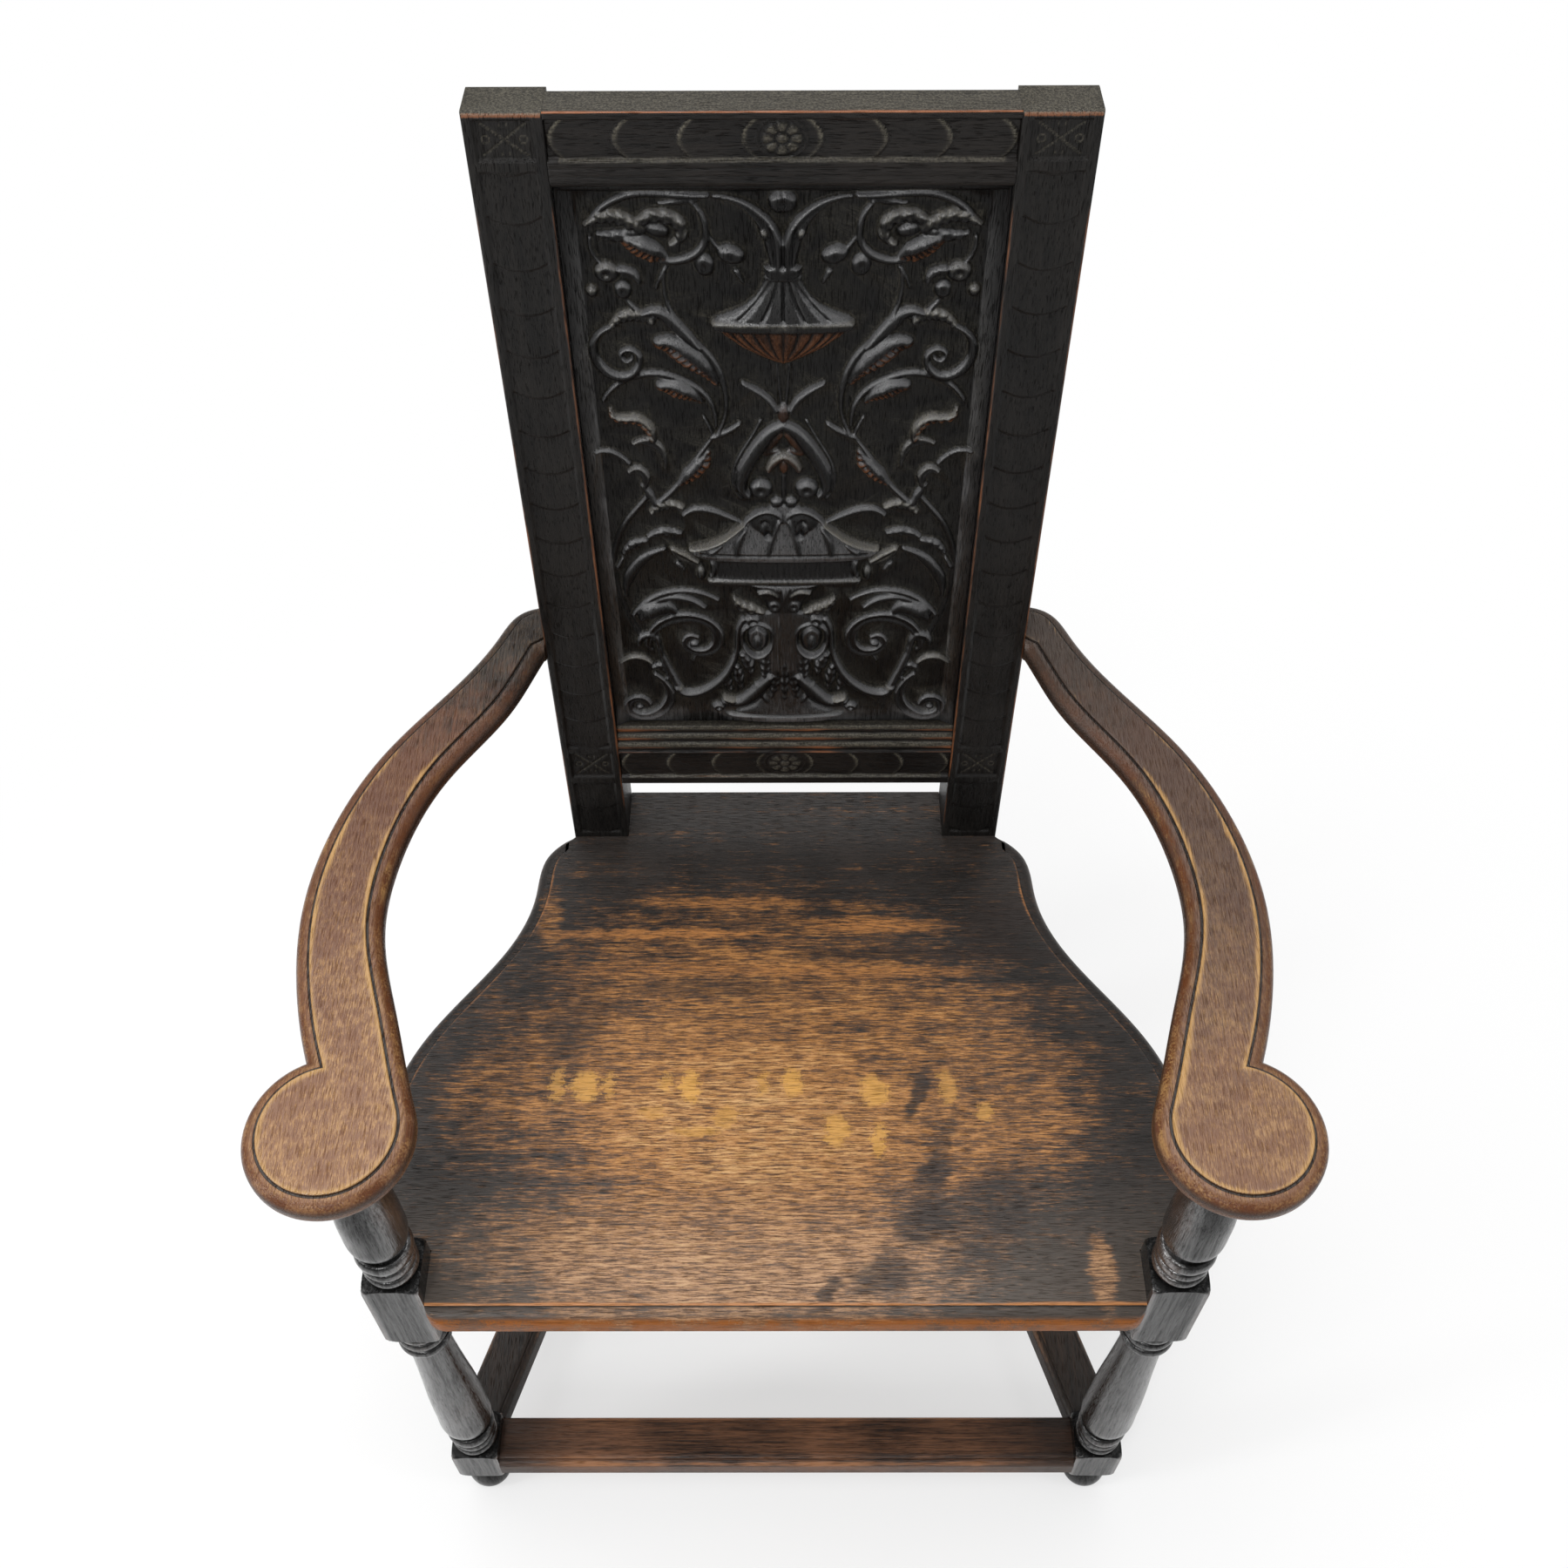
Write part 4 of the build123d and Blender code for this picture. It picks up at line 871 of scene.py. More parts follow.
turned([(304, 58), (308, 65), (312, 66), (316, 56), (322, 46), (329, 36), (336, 28), (343, 24), (349, 16),
        (352, 6)], [6.4, 6.8, 6.4, 6.0, 5.4, 4.8, 4.2, 3.8, 3.2, 2.6], crown=0.22, sheen=0.62)
boss((-12, 337), (14.0, 13.0), 5.4)
stroke([(-66, 314), (-53, 317), (-42, 323), (-33, 331), (-27, 337)], [1.2, 1.8, 1.8, 1.2], 7.2, pale=0.6)
stroke([(-27, 337), (-21, 344), (-12, 348), (-4, 345), (-1, 339)], [1.4, 2.2, 2.2, 1.4], 5.6)
boss((-12, 333), (5.8, 8.8), 7.4, turn=10)
cut([(-13, 338), (-12, 332), (-11, 327)], [3.2, 3.2], 3.6)
stroke([(-27, 332), (-31, 322), (-33, 311)], [1.8, 3.6, 4.4], 6.8)
stroke([(-44, 318), (-51, 311)], [1.6, 3.6], 6.6)
stroke([(-3, 340), (-8, 324), (-11, 310)], [1.4, 2.6, 4.2], 6.8)
cut([(-58, 310), (-30, 310), (0, 310)], [1.2, 1.2], 1.2)

# Spade arch above the vase, with its trefoil and two balls
stroke([(0, 419), (-8, 414), (-16, 403), (-23, 390), (-28, 377), (-28.5, 367), (-24, 360)],
       [4.2, 4.8, 5.4, 5.6, 5.4, 4.4, 2.6], [4.6, 5.4, 5.6, 5.4, 4.4])
stroke([(-15, 422), (-21, 409), (-28, 396), (-33, 383), (-34, 370), (-29, 357)], [1.0, 1.2, 1.4, 1.2],
       2.4)
stroke([(-3, 410), (-8, 404), (-12, 396), (-4, 397)], [3.0, 4.2, 3.0, 2.4], 2.0, warm=0.5)
boss((-15.5, 366), (8.0, 8.6), 6.0, hollow=2.6)
stroke([(-1, 394), (-6, 390), (-10, 383)], [3.4, 3.6, 2.4], 5.0, warm=0.2, pale=0.4)
boss((0, 384), (3.0, 6.0), 2.4, warm=0.5)
stroke([(0, 376), (0, 364), (0, 350)], [2.2, 2.0, 2.4], 1.6)
boss((-5, 354), (4.4, 4.8), 4.0)
stroke([(-26, 452), (-17, 446), (-9, 438), (-5, 430)], [1.2, 2.6, 2.8, 2.2], 4.0)
stroke([(-4, 465), (-2.5, 446), (-1, 428)], [0.9, 1.0, 1.4], 1.8)
boss((0, 428), (4.0, 8.4), 4.2, warm=0.55)

# Gadrooned bowl, its rim and the flared lid with a ringed neck
turned([(466, 0.5), (469, 8), (474, 18), (480, 28), (487, 36), (493, 41)], [2.0, 3.0, 4.2, 5.4, 6.6, 7.4],
       ribs=13, rib_depth=0.34, crown=0.3, warm=0.8)
turned([(493, 42), (494.5, 44), (497.5, 44.5), (499.5, 43)], 8.0, crown=0.16, pale=0.4)
turned([(499.5, 43), (502, 40), (505, 32), (509, 24), (515, 17), (522, 13), (529, 11)],
       [7.4, 7.0, 6.4, 5.8, 5.2, 4.8, 4.6], crown=0.34, sheen=0.45)
for left_x, top_x in ((-27, -7), (-13, -3.4), (0, 0)):
    cut([(left_x, 501), (left_x * 0.5 + top_x * 0.5, 511), (top_x, 528)], [1.5, 0.9], 1.8)
for level in (529.5, 532.5, 535.5):
    turned([(level - 1.4, 9.8), (level - 0.7, 11.6), (level + 0.7, 11.6), (level + 1.4, 9.8)], 6.8, crown=0.3)

# Horned leaves that spring from the neck, and the boss between them
leaf([(-4, 538), (-5, 549), (-8, 560), (-15, 570), (-26, 578), (-40, 581)],
     [4.2, 5.6, 5.2, 3.6, 2.0, 1.2], [6.0, 6.4, 5.0, 3.2, 2.2])
boss((-11, 559), (3.2, 5.4), 6.4, turn=20, pale=0.35)
stroke([(-3, 538), (-3, 552), (-6, 564)], [2.6, 3.4, 1.8], 6.8)
stroke([(0, 538), (-1, 552)], [1.4, 2.0], 5.0)
boss((-1, 578), (7.6, 7.6), 5.4, hollow=1.6)
cut([(0, 585), (-1, 572)], [0.8, 0.8], 1.2)


def soften(height, rounds):
    """Rub the edges down, as wax and hands do."""
    for _ in range(rounds):
        padded = np.pad(height, 1, mode="edge")
        beside = padded[1:-1, :-2] + padded[1:-1, 2:] + padded[:-2, 1:-1] + padded[2:, 1:-1]
        height = 0.5 * height + 0.125 * beside
    return height


def whole(half):
    """The left half of the carving and its mirror image."""
    return np.concatenate([half, half[:, -2::-1]], axis=1)


relief = whole(soften(carving.height * relief_gain, 1))
warmth = whole(soften(carving.warm, 1))
paleness = whole(soften(carving.pale, 1))
sheen = whole(soften(carving.sheen, 2))
upward = -np.gradient(soften(relief, 3), cell, axis=0)
relief_x = np.concatenate([carving.x, -carving.x[-2::-1]])
relief_h = carving.h
around = soften(relief, 6)
proud = np.clip((relief - around) / 0.8, -1.0, 1.0)
sink_wall = np.minimum(
    np.clip((ground_half - np.abs(relief_x)) / bevel_width, 0.0, 1.0)[None, :],
    np.clip((ground_end - relief_h) / top_bevel_width, 0.0, 1.0)[:, None],
)

# The panel's wear colour is a bluish grey that stands mostly for a painted sheen, and its warm colour partly
# for a painted reflection of the golden seat.
panel_oak = oak(
    "carved_panel_oak",
    along="Z",
    dark=(0.0020, 0.0018, 0.0018),
    body=(0.0066, 0.0064, 0.0064),
    worn=(0.060, 0.060, 0.062),
    gloss=0.32,
    shine=0.13,
    polish=0.8,
    seed=3.1,
    warm=(0.120, 0.050, 0.024),
)


def in_margin(inner, value=0.0):
    """A map of the carved ground with the flat margin on both sides of it and above."""
    full = np.full((len(relief_h) + 1, len(relief_x) + 2), value)
    full[:-1, 1:-1] = inner
    return full


def back_panel():
    """The carved face on a net of places, with a flat back and the edges between them."""
    # painted sheen: a grey band on the inner half of the side bevels
    bevel_sheen = (0.48 * (sink_wall > 0.45) * (sink_wall < 0.98)) * (relief_h < ground_high - 3.0)[:, None]
    # painted sheen: the ground is greyed towards its foot
    foot_sheen = 0.62 * ease(-relief_h, -foot_sheen_heights[1], -foot_sheen_heights[0])[:, None]
    # painted highlight: the grey wear colour and its gloss laid on relief faces turned up and on the sheen of
    # the vase's bodies; a little more is real wear on the proudest parts
    relief_wear_and_highlight = ease(relief, 0.5, 2.5) * np.maximum(ease(upward, 0.0, 0.75), sheen)
    relief_wear_and_highlight = relief_wear_and_highlight + 0.20 * np.clip(proud, 0, 1) * (relief > 1.0)
    in_hollow = np.clip(-proud, 0, 1) * 0.25 * (relief < 2.0)
    maps = {
        "worn": np.maximum(np.maximum(bevel_sheen, foot_sheen), relief_wear_and_highlight),
        # grey wax in the hollows, and on the leaves a painted highlight where their pale tops turn up
        "dust": np.maximum(in_hollow, 1.3 * paleness * ease(upward, -0.1, 0.6)),
        # warm wood, and kept stronger on faces turned down as a painted reflection of the golden seat
        "warm": warmth * np.clip(0.45 + proud, 0, 1) * (1 - 0.6 * ease(upward, 0.2, 0.9)),
    }
    depth = in_margin(panel_face + (ground_depth - panel_face - relief) * sink_wall, panel_face)
    x_line = np.concatenate([[-panel_half], relief_x, [panel_half]])
    x_net, h_net = np.meshgrid(x_line, np.concatenate([relief_h, [panel_high]]))
    front = on_back(x_net, depth, h_net).reshape(-1, 3)
    net = np.arange(depth.size).reshape(depth.shape)
    quads = np.stack([net[:-1, :-1], net[:-1, 1:], net[1:, 1:], net[1:, :-1]], axis=-1)
    faces = quads.reshape(-1, 4).tolist()
    border = np.concatenate([net[0], net[1:, -1], net[-1, -2::-1], net[-2:0:-1, 0]])
    behind = len(front) + np.arange(len(border))
    faces += np.stack([border, np.roll(border, -1), np.roll(behind, -1), behind], axis=-1).tolist()
    faces.append(behind.tolist())
    rim = on_back(x_net.ravel()[border], np.full(len(border), panel_back), h_net.ravel()[border])
    marks = {mark: np.append(in_margin(inner), np.zeros(len(border))) for mark, inner in maps.items()}
    return piece("back_panel_carved", np.concatenate([front, rim]), faces, panel_oak, marks)


panel = back_panel()
thin = panel.modifiers.new("fewer_faces_on_the_flat", "DECIMATE")
thin.ratio = 0.50
bpy.context.view_layer.update()
thinned = bpy.data.meshes.new_from_object(panel.evaluated_get(bpy.context.evaluated_depsgraph_get()))
panel.modifiers.clear()
panel.data = thinned
panel.data.polygons.foreach_set("use_smooth", [True] * len(panel.data.polygons))
place(panel, "back_panel")


# ------------------------------------------------------------------ front posts
# Each post is turned from one square oak billet. Square blocks are left for the joints of the
# stretchers and of the seat rails, and the arm is bored to sit on its top tenon.
post_low, post_high = box_of("front_post_right")
post_x = (post_low[0] + post_high[0]) / 2
post_y = (post_low[1] + post_high[1]) / 2
post_half = 20.0  # half of its square section; the swellings reach a little further
post_inner_x = post_x - post_half
post_front_y = post_y - post_half
post_back_y = post_y + post_half
arm_low, arm_high = box_of("arm_right")
arm_under = arm_low[2]
foot_block = (46.0, 100.0)
seat_block = (387.0, 483.0)
shoulder = 5.0
corner_reach = post_half * 1.385
shoulder_reach = post_half * 1.02
foot_top = 39.0
foot_neck = 12.5
foot_collar = 16.0
leg_rubbed = 0.28
post_columns = 96

# Rings are (height, radius at the root, radius at the crown), from the block outwards.
base_rings = [(3.0, 16.5, 16.5), (9.0, 16.5, 19.5), (2.0, 16.5, 16.5), (10.0, 16.5, 19.5)]
base_rings += [(2.0, 17.0, 17.0), (13.0, 17.0, 20.5), (3.0, 16.0, 16.0)]
leg_cap_rings = [(3.0, 16.5, 16.5), (9.0, 16.5, 19.5), (2.0, 16.5, 16.5), (10.0, 16.5, 20.0)]
leg_cap_rings += [(2.0, 16.5, 16.5), (10.0, 16.5, 20.5), (3.0, 16.0, 16.0)]
arm_cap_rings = [(3.0, 15.0, 15.0), (13.0, 15.0, 18.5), (2.0, 13.5, 13.5)]
arm_cap_rings += [(8.0, 13.5, 16.5), (3.0, 12.5, 12.5)]

# Swellings are (radius, share of their height) from the foot up.
leg_swelling = [(15.0, 0.0), (19.8, 0.04), (21.8, 0.16), (21.0, 0.34), (18.6, 0.6), (16.4, 0.85), (15.5, 1.0)]
arm_swelling = [(15.0, 0.0), (19.5, 0.07), (21.3, 0.24), (20.5, 0.47), (15.5, 0.75), (12.0, 1.0)]
foot_swelling = [(14.0, 0.0), (18.0, 0.15), (19.5, 0.42), (17.0, 0.74), (12.5, 1.0)]


def ring_profile(rings, start, step):
    """Levels, radii, wear and soot of a stack of rings, upwards (step 1) or downwards (step -1)."""
    rows = []
    level = start
    for height, root, crown in rings:
        turns = np.linspace(0, pi, 9) if crown > root else np.array([0, pi])
        for share, bulge in zip((1 - np.cos(turns)) / 2, np.sin(turns) * (crown > root)):
            z = level + step * height * share
            rows.append((z, root + (crown - root) * bulge, 0.4 * bulge, 0.7 - 0.5 * bulge))
        level += step * height
    return rows[::step], level


def swelling_profile(swelling, low, high, rubbed=0.0):
    """Levels, radii, wear and soot of a long swelling."""
    points = [(radius, low + share * (high - low)) for radius, share in swelling]
    return [(z, radius, rubbed, 0.0) for radius, z in smooth_curve(points, 44)]


def turned_profile(swelling, cap_rings, low, high, rubbed):
    """Base rings, a swelling and cap rings."""
    base, base_top = ring_profile(base_rings, low, 1)
    cap, cap_low = ring_profile(cap_rings, high, -1)
    return base + swelling_profile(swelling, base_top, cap_low, rubbed) + cap


def block_profile(low, high):
    """A square block whose corners are turned away at its shoulders."""
    turns = np.linspace(0, pi / 2, 7)
    rise = shoulder * (1 - np.cos(turns))
    reaches = shoulder_reach + (corner_reach - shoulder_reach) * np.sin(turns)
    plain = np.linspace(low + shoulder + 3, high - shoulder - 3, 12)
    levels = np.concatenate([low + rise, plain, high - rise[::-1]])
    reaches = np.concatenate([reaches, np.full(len(plain), corner_reach), reaches[::-1]])
    return [(level, reach, 0.0, 0.0) for level, reach in zip(levels, reaches)]


post_oak = oak(
    "post_oak",
    along="Z",
    dark=(0.0030, 0.0028, 0.0027),
    body=(0.0105, 0.0105, 0.0105),
    worn=(0.048, 0.028, 0.020),
    gloss=0.13,
    shine=0.20,
    polish=1.9,
    streaky=0.6,
    relief=0.5,
    seed=5.3,
)


def front_post(side, name):
    """The right post (side 1) or the left one (side -1), from its foot to the arm."""
    columns = post_columns
    collar = [(foot_top, foot_neck, 0.0, 0.8), (foot_top + 3.0, foot_neck, 0.0, 0.8)]
    collar += [(foot_top + 3.0, foot_collar, 0.0, 0.4), (foot_block[0], foot_collar, 0.0, 0.4)]
    profile = swelling_profile(foot_swelling, 0.0, foot_top) + collar + block_profile(*foot_block)
    profile += turned_profile(leg_swelling, leg_cap_rings, foot_block[1], seat_block[0], leg_rubbed)
    profile += block_profile(*seat_block)
    profile += turned_profile(arm_swelling, arm_cap_rings, seat_block[1], arm_under, 0.0)
    angle = np.arange(columns) * 2 * pi / columns
    square = post_half / np.maximum(np.abs(np.cos(angle)), np.abs(np.sin(angle)))
    rings = []
    for level, radius, wear, black in profile:
        in_block = foot_block[0] <= level <= foot_block[1] or seat_block[0] <= level <= seat_block[1]
        reach = np.minimum(square, radius) if in_block else np.full(columns, radius)
        x = side * post_x + reach * np.cos(angle)
        y = post_y + reach * np.sin(angle)
        arris = 0.7 * ease(reach / post_half, 1.24, 1.36)
        # painted reflection: the inner side of the post above the seat block is browned, as the seat and the
        # arm would show in it
        inner_reflection = 0.5 * ease(-side * np.cos(angle), 0.1, 0.9) * (level > seat_block[1])
        marks = {"worn": wear + arris + inner_reflection, "soot": np.full(columns, black)}
        rings.append((np.column_stack([x, y, np.full(columns, level)]), marks))
    return ringed(name, rings, post_oak, crisp=38.0)


for side, hand in HANDS:
    place(front_post(side, f"front_post_{hand}_turned"), f"front_post_{hand}")


# ------------------------------------------------------------------ seat rails
# Four plain straight rails carry the seat board. They are sawn and planed, never carved, and
# stay dark and dry in the shade under the board.
def dress(node, material):
    """A node that keeps its own shape and takes a finer material."""
    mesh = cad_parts[node].data
    mesh.materials.clear()
    mesh.materials.append(material)


shade_colours = ((0.006, 0.005, 0.0045), (0.030, 0.021, 0.015), (0.1, 0.05, 0.02))
cross_rail_oak = oak("seat_rail_oak", "X", *shade_colours, gloss=0.55, seed=2.2)
side_rail_oak = oak("side_rail_oak", "Y", *shade_colours, gloss=0.55, seed=2.9)
dress("seat_rail_front", cross_rail_oak)
dress("seat_rail_rear", cross_rail_oak)
dress("seat_rail_left", side_rail_oak)
dress("seat_rail_right", side_rail_oak)


# ------------------------------------------------------------------ stretchers
# Four low stretchers of oak are tenoned into posts and stiles. Their upper edges have an ovolo
# and a fine quirk, rubbed by feet, so the front one shows red-brown.
stretcher_low = 62.0
stretcher_top = 86.0
stretcher_edge = 6.0
stretcher_round = 5.0
low_arris = 0.8
quirk = 1.3
black_near = 8.0  # the bar is darkest this near to a post, and plain at the other distance
black_far = 90.0

stretcher_oak = oak(
    "stretcher_oak",
    along="X",
    dark=(0.0100, 0.0060, 0.0045),
    body=(0.190, 0.084, 0.040),
    worn=(0.32, 0.135, 0.050),
    gloss=0.40,
    shine=0.35,
    seed=4.1,
)
side_stretcher_oak = oak(
    "side_stretcher_oak",
    along="Y",
    dark=(0.0070, 0.0055, 0.0045),
    body=(0.050, 0.030, 0.020),
    worn=(0.17, 0.080, 0.036),
    gloss=0.40,
    shine=0.35,
    seed=4.6,
)


def ovolo(radius, top, count):
    """Turn, inset and height of the points of a quarter round, from its lower end up to its top."""
    turns = np.linspace(0, pi / 2, count)
    return [(turn, radius * (1 - cos(turn)), top - radius * (1 - sin(turn))) for turn in turns]


def stretcher_section(half):
    """Half width, height and wear of points round a moulded stretcher, from its low left edge."""
    low_top = stretcher_top - quirk
    field = stretcher_edge - half
    left = [(-half, stretcher_low + low_arris, 0.1)]
    left += [(inset - half, z, 0.75 * sin(2 * turn)) for turn, inset, z in ovolo(stretcher_round, low_top, 7)]
    left += [(field - 0.1, low_top, 0.0), (field, stretcher_top - 0.35, 0.45)]
    left += [(field + 0.5, stretcher_top, 0.45), (field + 4.0, stretcher_top, 0.05)]
    right = [(-u, z, wear) for u, z, wear in reversed(left)]
    under = [(half - low_arris, stretcher_low, 0.0), (low_arris - half, stretcher_low, 0.0)]
    return np.array(left + right + under)


def moulded_stretcher(name, start, finish, half, across_is_x, material):
    """A bar between two end points. Its ends are cut along X or along Y to meet posts and stiles."""
    across, height, wear = stretcher_section(half).T
    start = np.array(start)
    whole_way = np.array(finish) - start
    length = np.linalg.norm(whole_way)
    rings = []
    for share in np.linspace(0, 1, 25):
        x, y = start + whole_way * share
        if across_is_x:
            x = x + across * length / abs(whole_way[1])
        else:
            y = y + across
        near_post = 0.75 * ease(-min(share, 1 - share) * length, -black_far, -black_near)
        marks = {"worn": (1 - 0.8 * near_post) * wear, "soot": np.full(len(wear), near_post)}
        rings.append((np.stack(np.broadcast_arrays(x, y, height), axis=-1), marks))
    return ringed(name, rings, material, crisp=38.0)


for hand, reach in (("front", post_inner_x), ("rear", stile_inner)):
    low, high = box_of(f"stretcher_{hand}")
    middle = (low[1] + high[1]) / 2
    half = (high[1] - low[1]) / 2
    ends = ((-reach, middle), (reach, middle))
    bar = moulded_stretcher(f"stretcher_{hand}_moulded", *ends, half, False, stretcher_oak)
    place(bar, f"stretcher_{hand}")
for side, hand in HANDS:
    ends = ((side * post_x, post_back_y), (side * stile_middle, back_face_y))
    bar = moulded_stretcher(f"stretcher_{hand}_moulded", *ends, post_half, True, side_stretcher_oak)
    place(bar, f"stretcher_{hand}")


# ------------------------------------------------------------------ seat board
# One wide quarter-sawn oak board, its grain from side to side. It is notched round the posts, its
# tongue runs back between the stiles, and an ovolo is worked along its front and its two sides.
# Sitting has worn its middle golden, while its edges and its back stayed black.
seat_side = [
    (0.197, 0.0525),
    (0.238, 0.149),
    (0.352, 0.276),
    (0.598, 0.403),
    (0.857, 0.533),
    (1.0, 0.6685),
    (1.0245, 0.8065),
    (1.0, 1.0),
]
seat_edge = 10.5
seat_round = 9.0
seat_end_round = 1.3  # how far the front edge's ends are rounded off, as a share of its overhang
seat_bulge = 8.5  # how far its sides swell out past the posts
seat_under = seat_low[2]
seat_rear_corner = 194.5
corner_zone = 45.0  # how far the rear corner reaches in front of the stiles
corner_tuck = 25.0  # how far its lower edge is drawn in under it
tongue_x = stile_inner - 0.1


def drawn_in(line, margin):
    """A curve moved by a margin to the right of its own way."""
    way = np.gradient(line, axis=0)
    way /= np.linalg.norm(way, axis=1)[:, None]
    return line + margin * np.stack([way[:, 1], -way[:, 0]], axis=-1)


seat_side_points = [(stile_outer, back_face_y + seat_edge / 2)]
for outward, forward in seat_side:
    x = stile_outer + outward * (post_x + post_half + seat_bulge - stile_outer)
    y = back_face_y - forward * (back_face_y - post_back_y)
    seat_side_points.append((x, y))
seat_side_line = smooth_curve(seat_side_points, 90)


def seat_outline(margin):
    """The right half of the seat's outline, drawn in by a margin, from the tongue to the front."""
    side = drawn_in(seat_side_line, margin * 1.15)
    behind = side[:, 1] > back_face_y - corner_zone
    corner = seat_rear_corner - 1.3 * margin - corner_tuck * (1 - margin / seat_edge)
    side[behind, 0] = np.maximum(side[behind, 0], corner)
    side[:, 1] = np.clip(side[:, 1], post_back_y, back_face_y)
    side[-1, 1] = post_back_y
    tongue = [(tongue_x, seat_high[1]), (tongue_x, back_face_y), (stile_outer - 1.0, back_face_y)]
    overhang = post_front_y - (seat_low[1] + margin)
    turns = np.linspace(0, pi / 2, 9)
    front_x = post_inner_x - seat_end_round * max(overhang, 0.0) * (1 - np.cos(turns))
    front = np.column_stack([front_x, post_front_y - overhang * np.sin(turns)])
    return np.concatenate([tongue, side, [(post_inner_x, post_back_y)], front])


def seat_layers():
    """Margin, height, wear, soot and warmth of the rings round the seat's edge, from below upwards."""
    low_top = seat_level - quirk
    layers = [
        (0.6, seat_under, 0.0, 0.0, 0.3),
        (0.0, seat_under + 0.6, 0.2, 0.0, 0.8),
        (0.0, low_top - seat_round, 0.3, 0.0, 1.0),
    ]
    for turn, margin, level in ovolo(seat_round, low_top, 9)[1:]:
        lower = 1 - ease(turn, 0.45, 0.95)
        layers.append((margin, level, 0.3 * lower, 0.30 * (1 - lower), lower))
    return layers + [
        (seat_edge - 0.1, low_top, 0.0, 1.0, 0.0),
        (seat_edge, seat_level - 0.4, 0.8, 0.0, 0.0),
        (seat_edge + 0.6, seat_level, 0.9, 0.0, 0.0),
        (seat_edge + 3.0, seat_level, 0.15, 0.0, 0.0),
    ]


# Places on the seat: centre x, centre y, half width, half depth, strength
sat_on = [
    (-20, -70, 150, 80, 1),
    (-10, -40, 215, 140, 0.72),
    (-40, -170, 180, 70, 0.8),
    (-30, 70, 160, 65, 0.5),
    (-185, -48, 80, 40, 0.6),
    (165, -60, 70, 75, 0.62),
    (222, -190, 10, 28, 0.85),
    (-190, 105, 10, 28, 0.6),
]
ray_flecks = [
    (-172, -44, 5, 14, 0.6),
    (-151, -44, 10, 13, 0.8),
    (-133, -44, 4, 12, 0.6),
    (-90, -42, 4, 10, 0.6),
    (-73, -44, 7, 14, 0.9),
    (-17, -42, 4, 10, 0.6),
    (6, -42, 8, 12, 0.9),
    (67, -50, 10, 13, 0.8),
    (122, -46, 6, 14, 0.5),
    (-100, -66, 10, 6, 0.5),
    (-45, -70, 9, 8, 0.6),
    (-65, -82, 16, 5, 0.6),
    (38, -81, 9, 12, 0.8),
    (70, -88, 5, 14, 0.8),
    (150, -66, 6, 8, 0.6),
]
streaks = [
    (-105, 92, 90, 4.5, 0.9),
    (75, 100, 50, 7, 0.8),
    (-55, 122, 65, 4.5, 0.6),
    (-50, 58, 120, 6, 0.5),
    (70, 55, 80, 6, 0.5),
]
stains = [
    (118, -50, 6, 22, 0.95),
    (150, -90, 6, 22, 0.6),
    (148, -115, 12, 14, 0.9),
    (155, -152, 20, 20, 0.9),
    (137, -192, 22, 14, 0.85),
    (104, -204, 7, 12, 0.8),
    (95, 72, 110, 6, 0.9),
    (-72, 41, 62, 8, 0.6),
    (-165, 10, 22, 30, 0.5),
    (135, 100, 30, 26, 0.7),
    (200, -150, 30, 40, 0.6),
]
scratched_place = [(30, 10, 120, 60, 0.8)]
red_brown = (0.112, 0.052, 0.022)
golden = (0.42, 0.185, 0.050)
pale_golden = (0.62, 0.355, 0.140)
# the grey-golden of the painted sheen over the seat's front
sheen_golden = (0.41, 0.325, 0.255)
fine_dark = (0.095, 0.042, 0.016)
streak_golden = (0.46, 0.19, 0.050)
fleck_golden = (0.64, 0.330, 0.070)
scratch_golden = (0.48, 0.25, 0.085)
stain_black = (0.020, 0.0125, 0.0095)


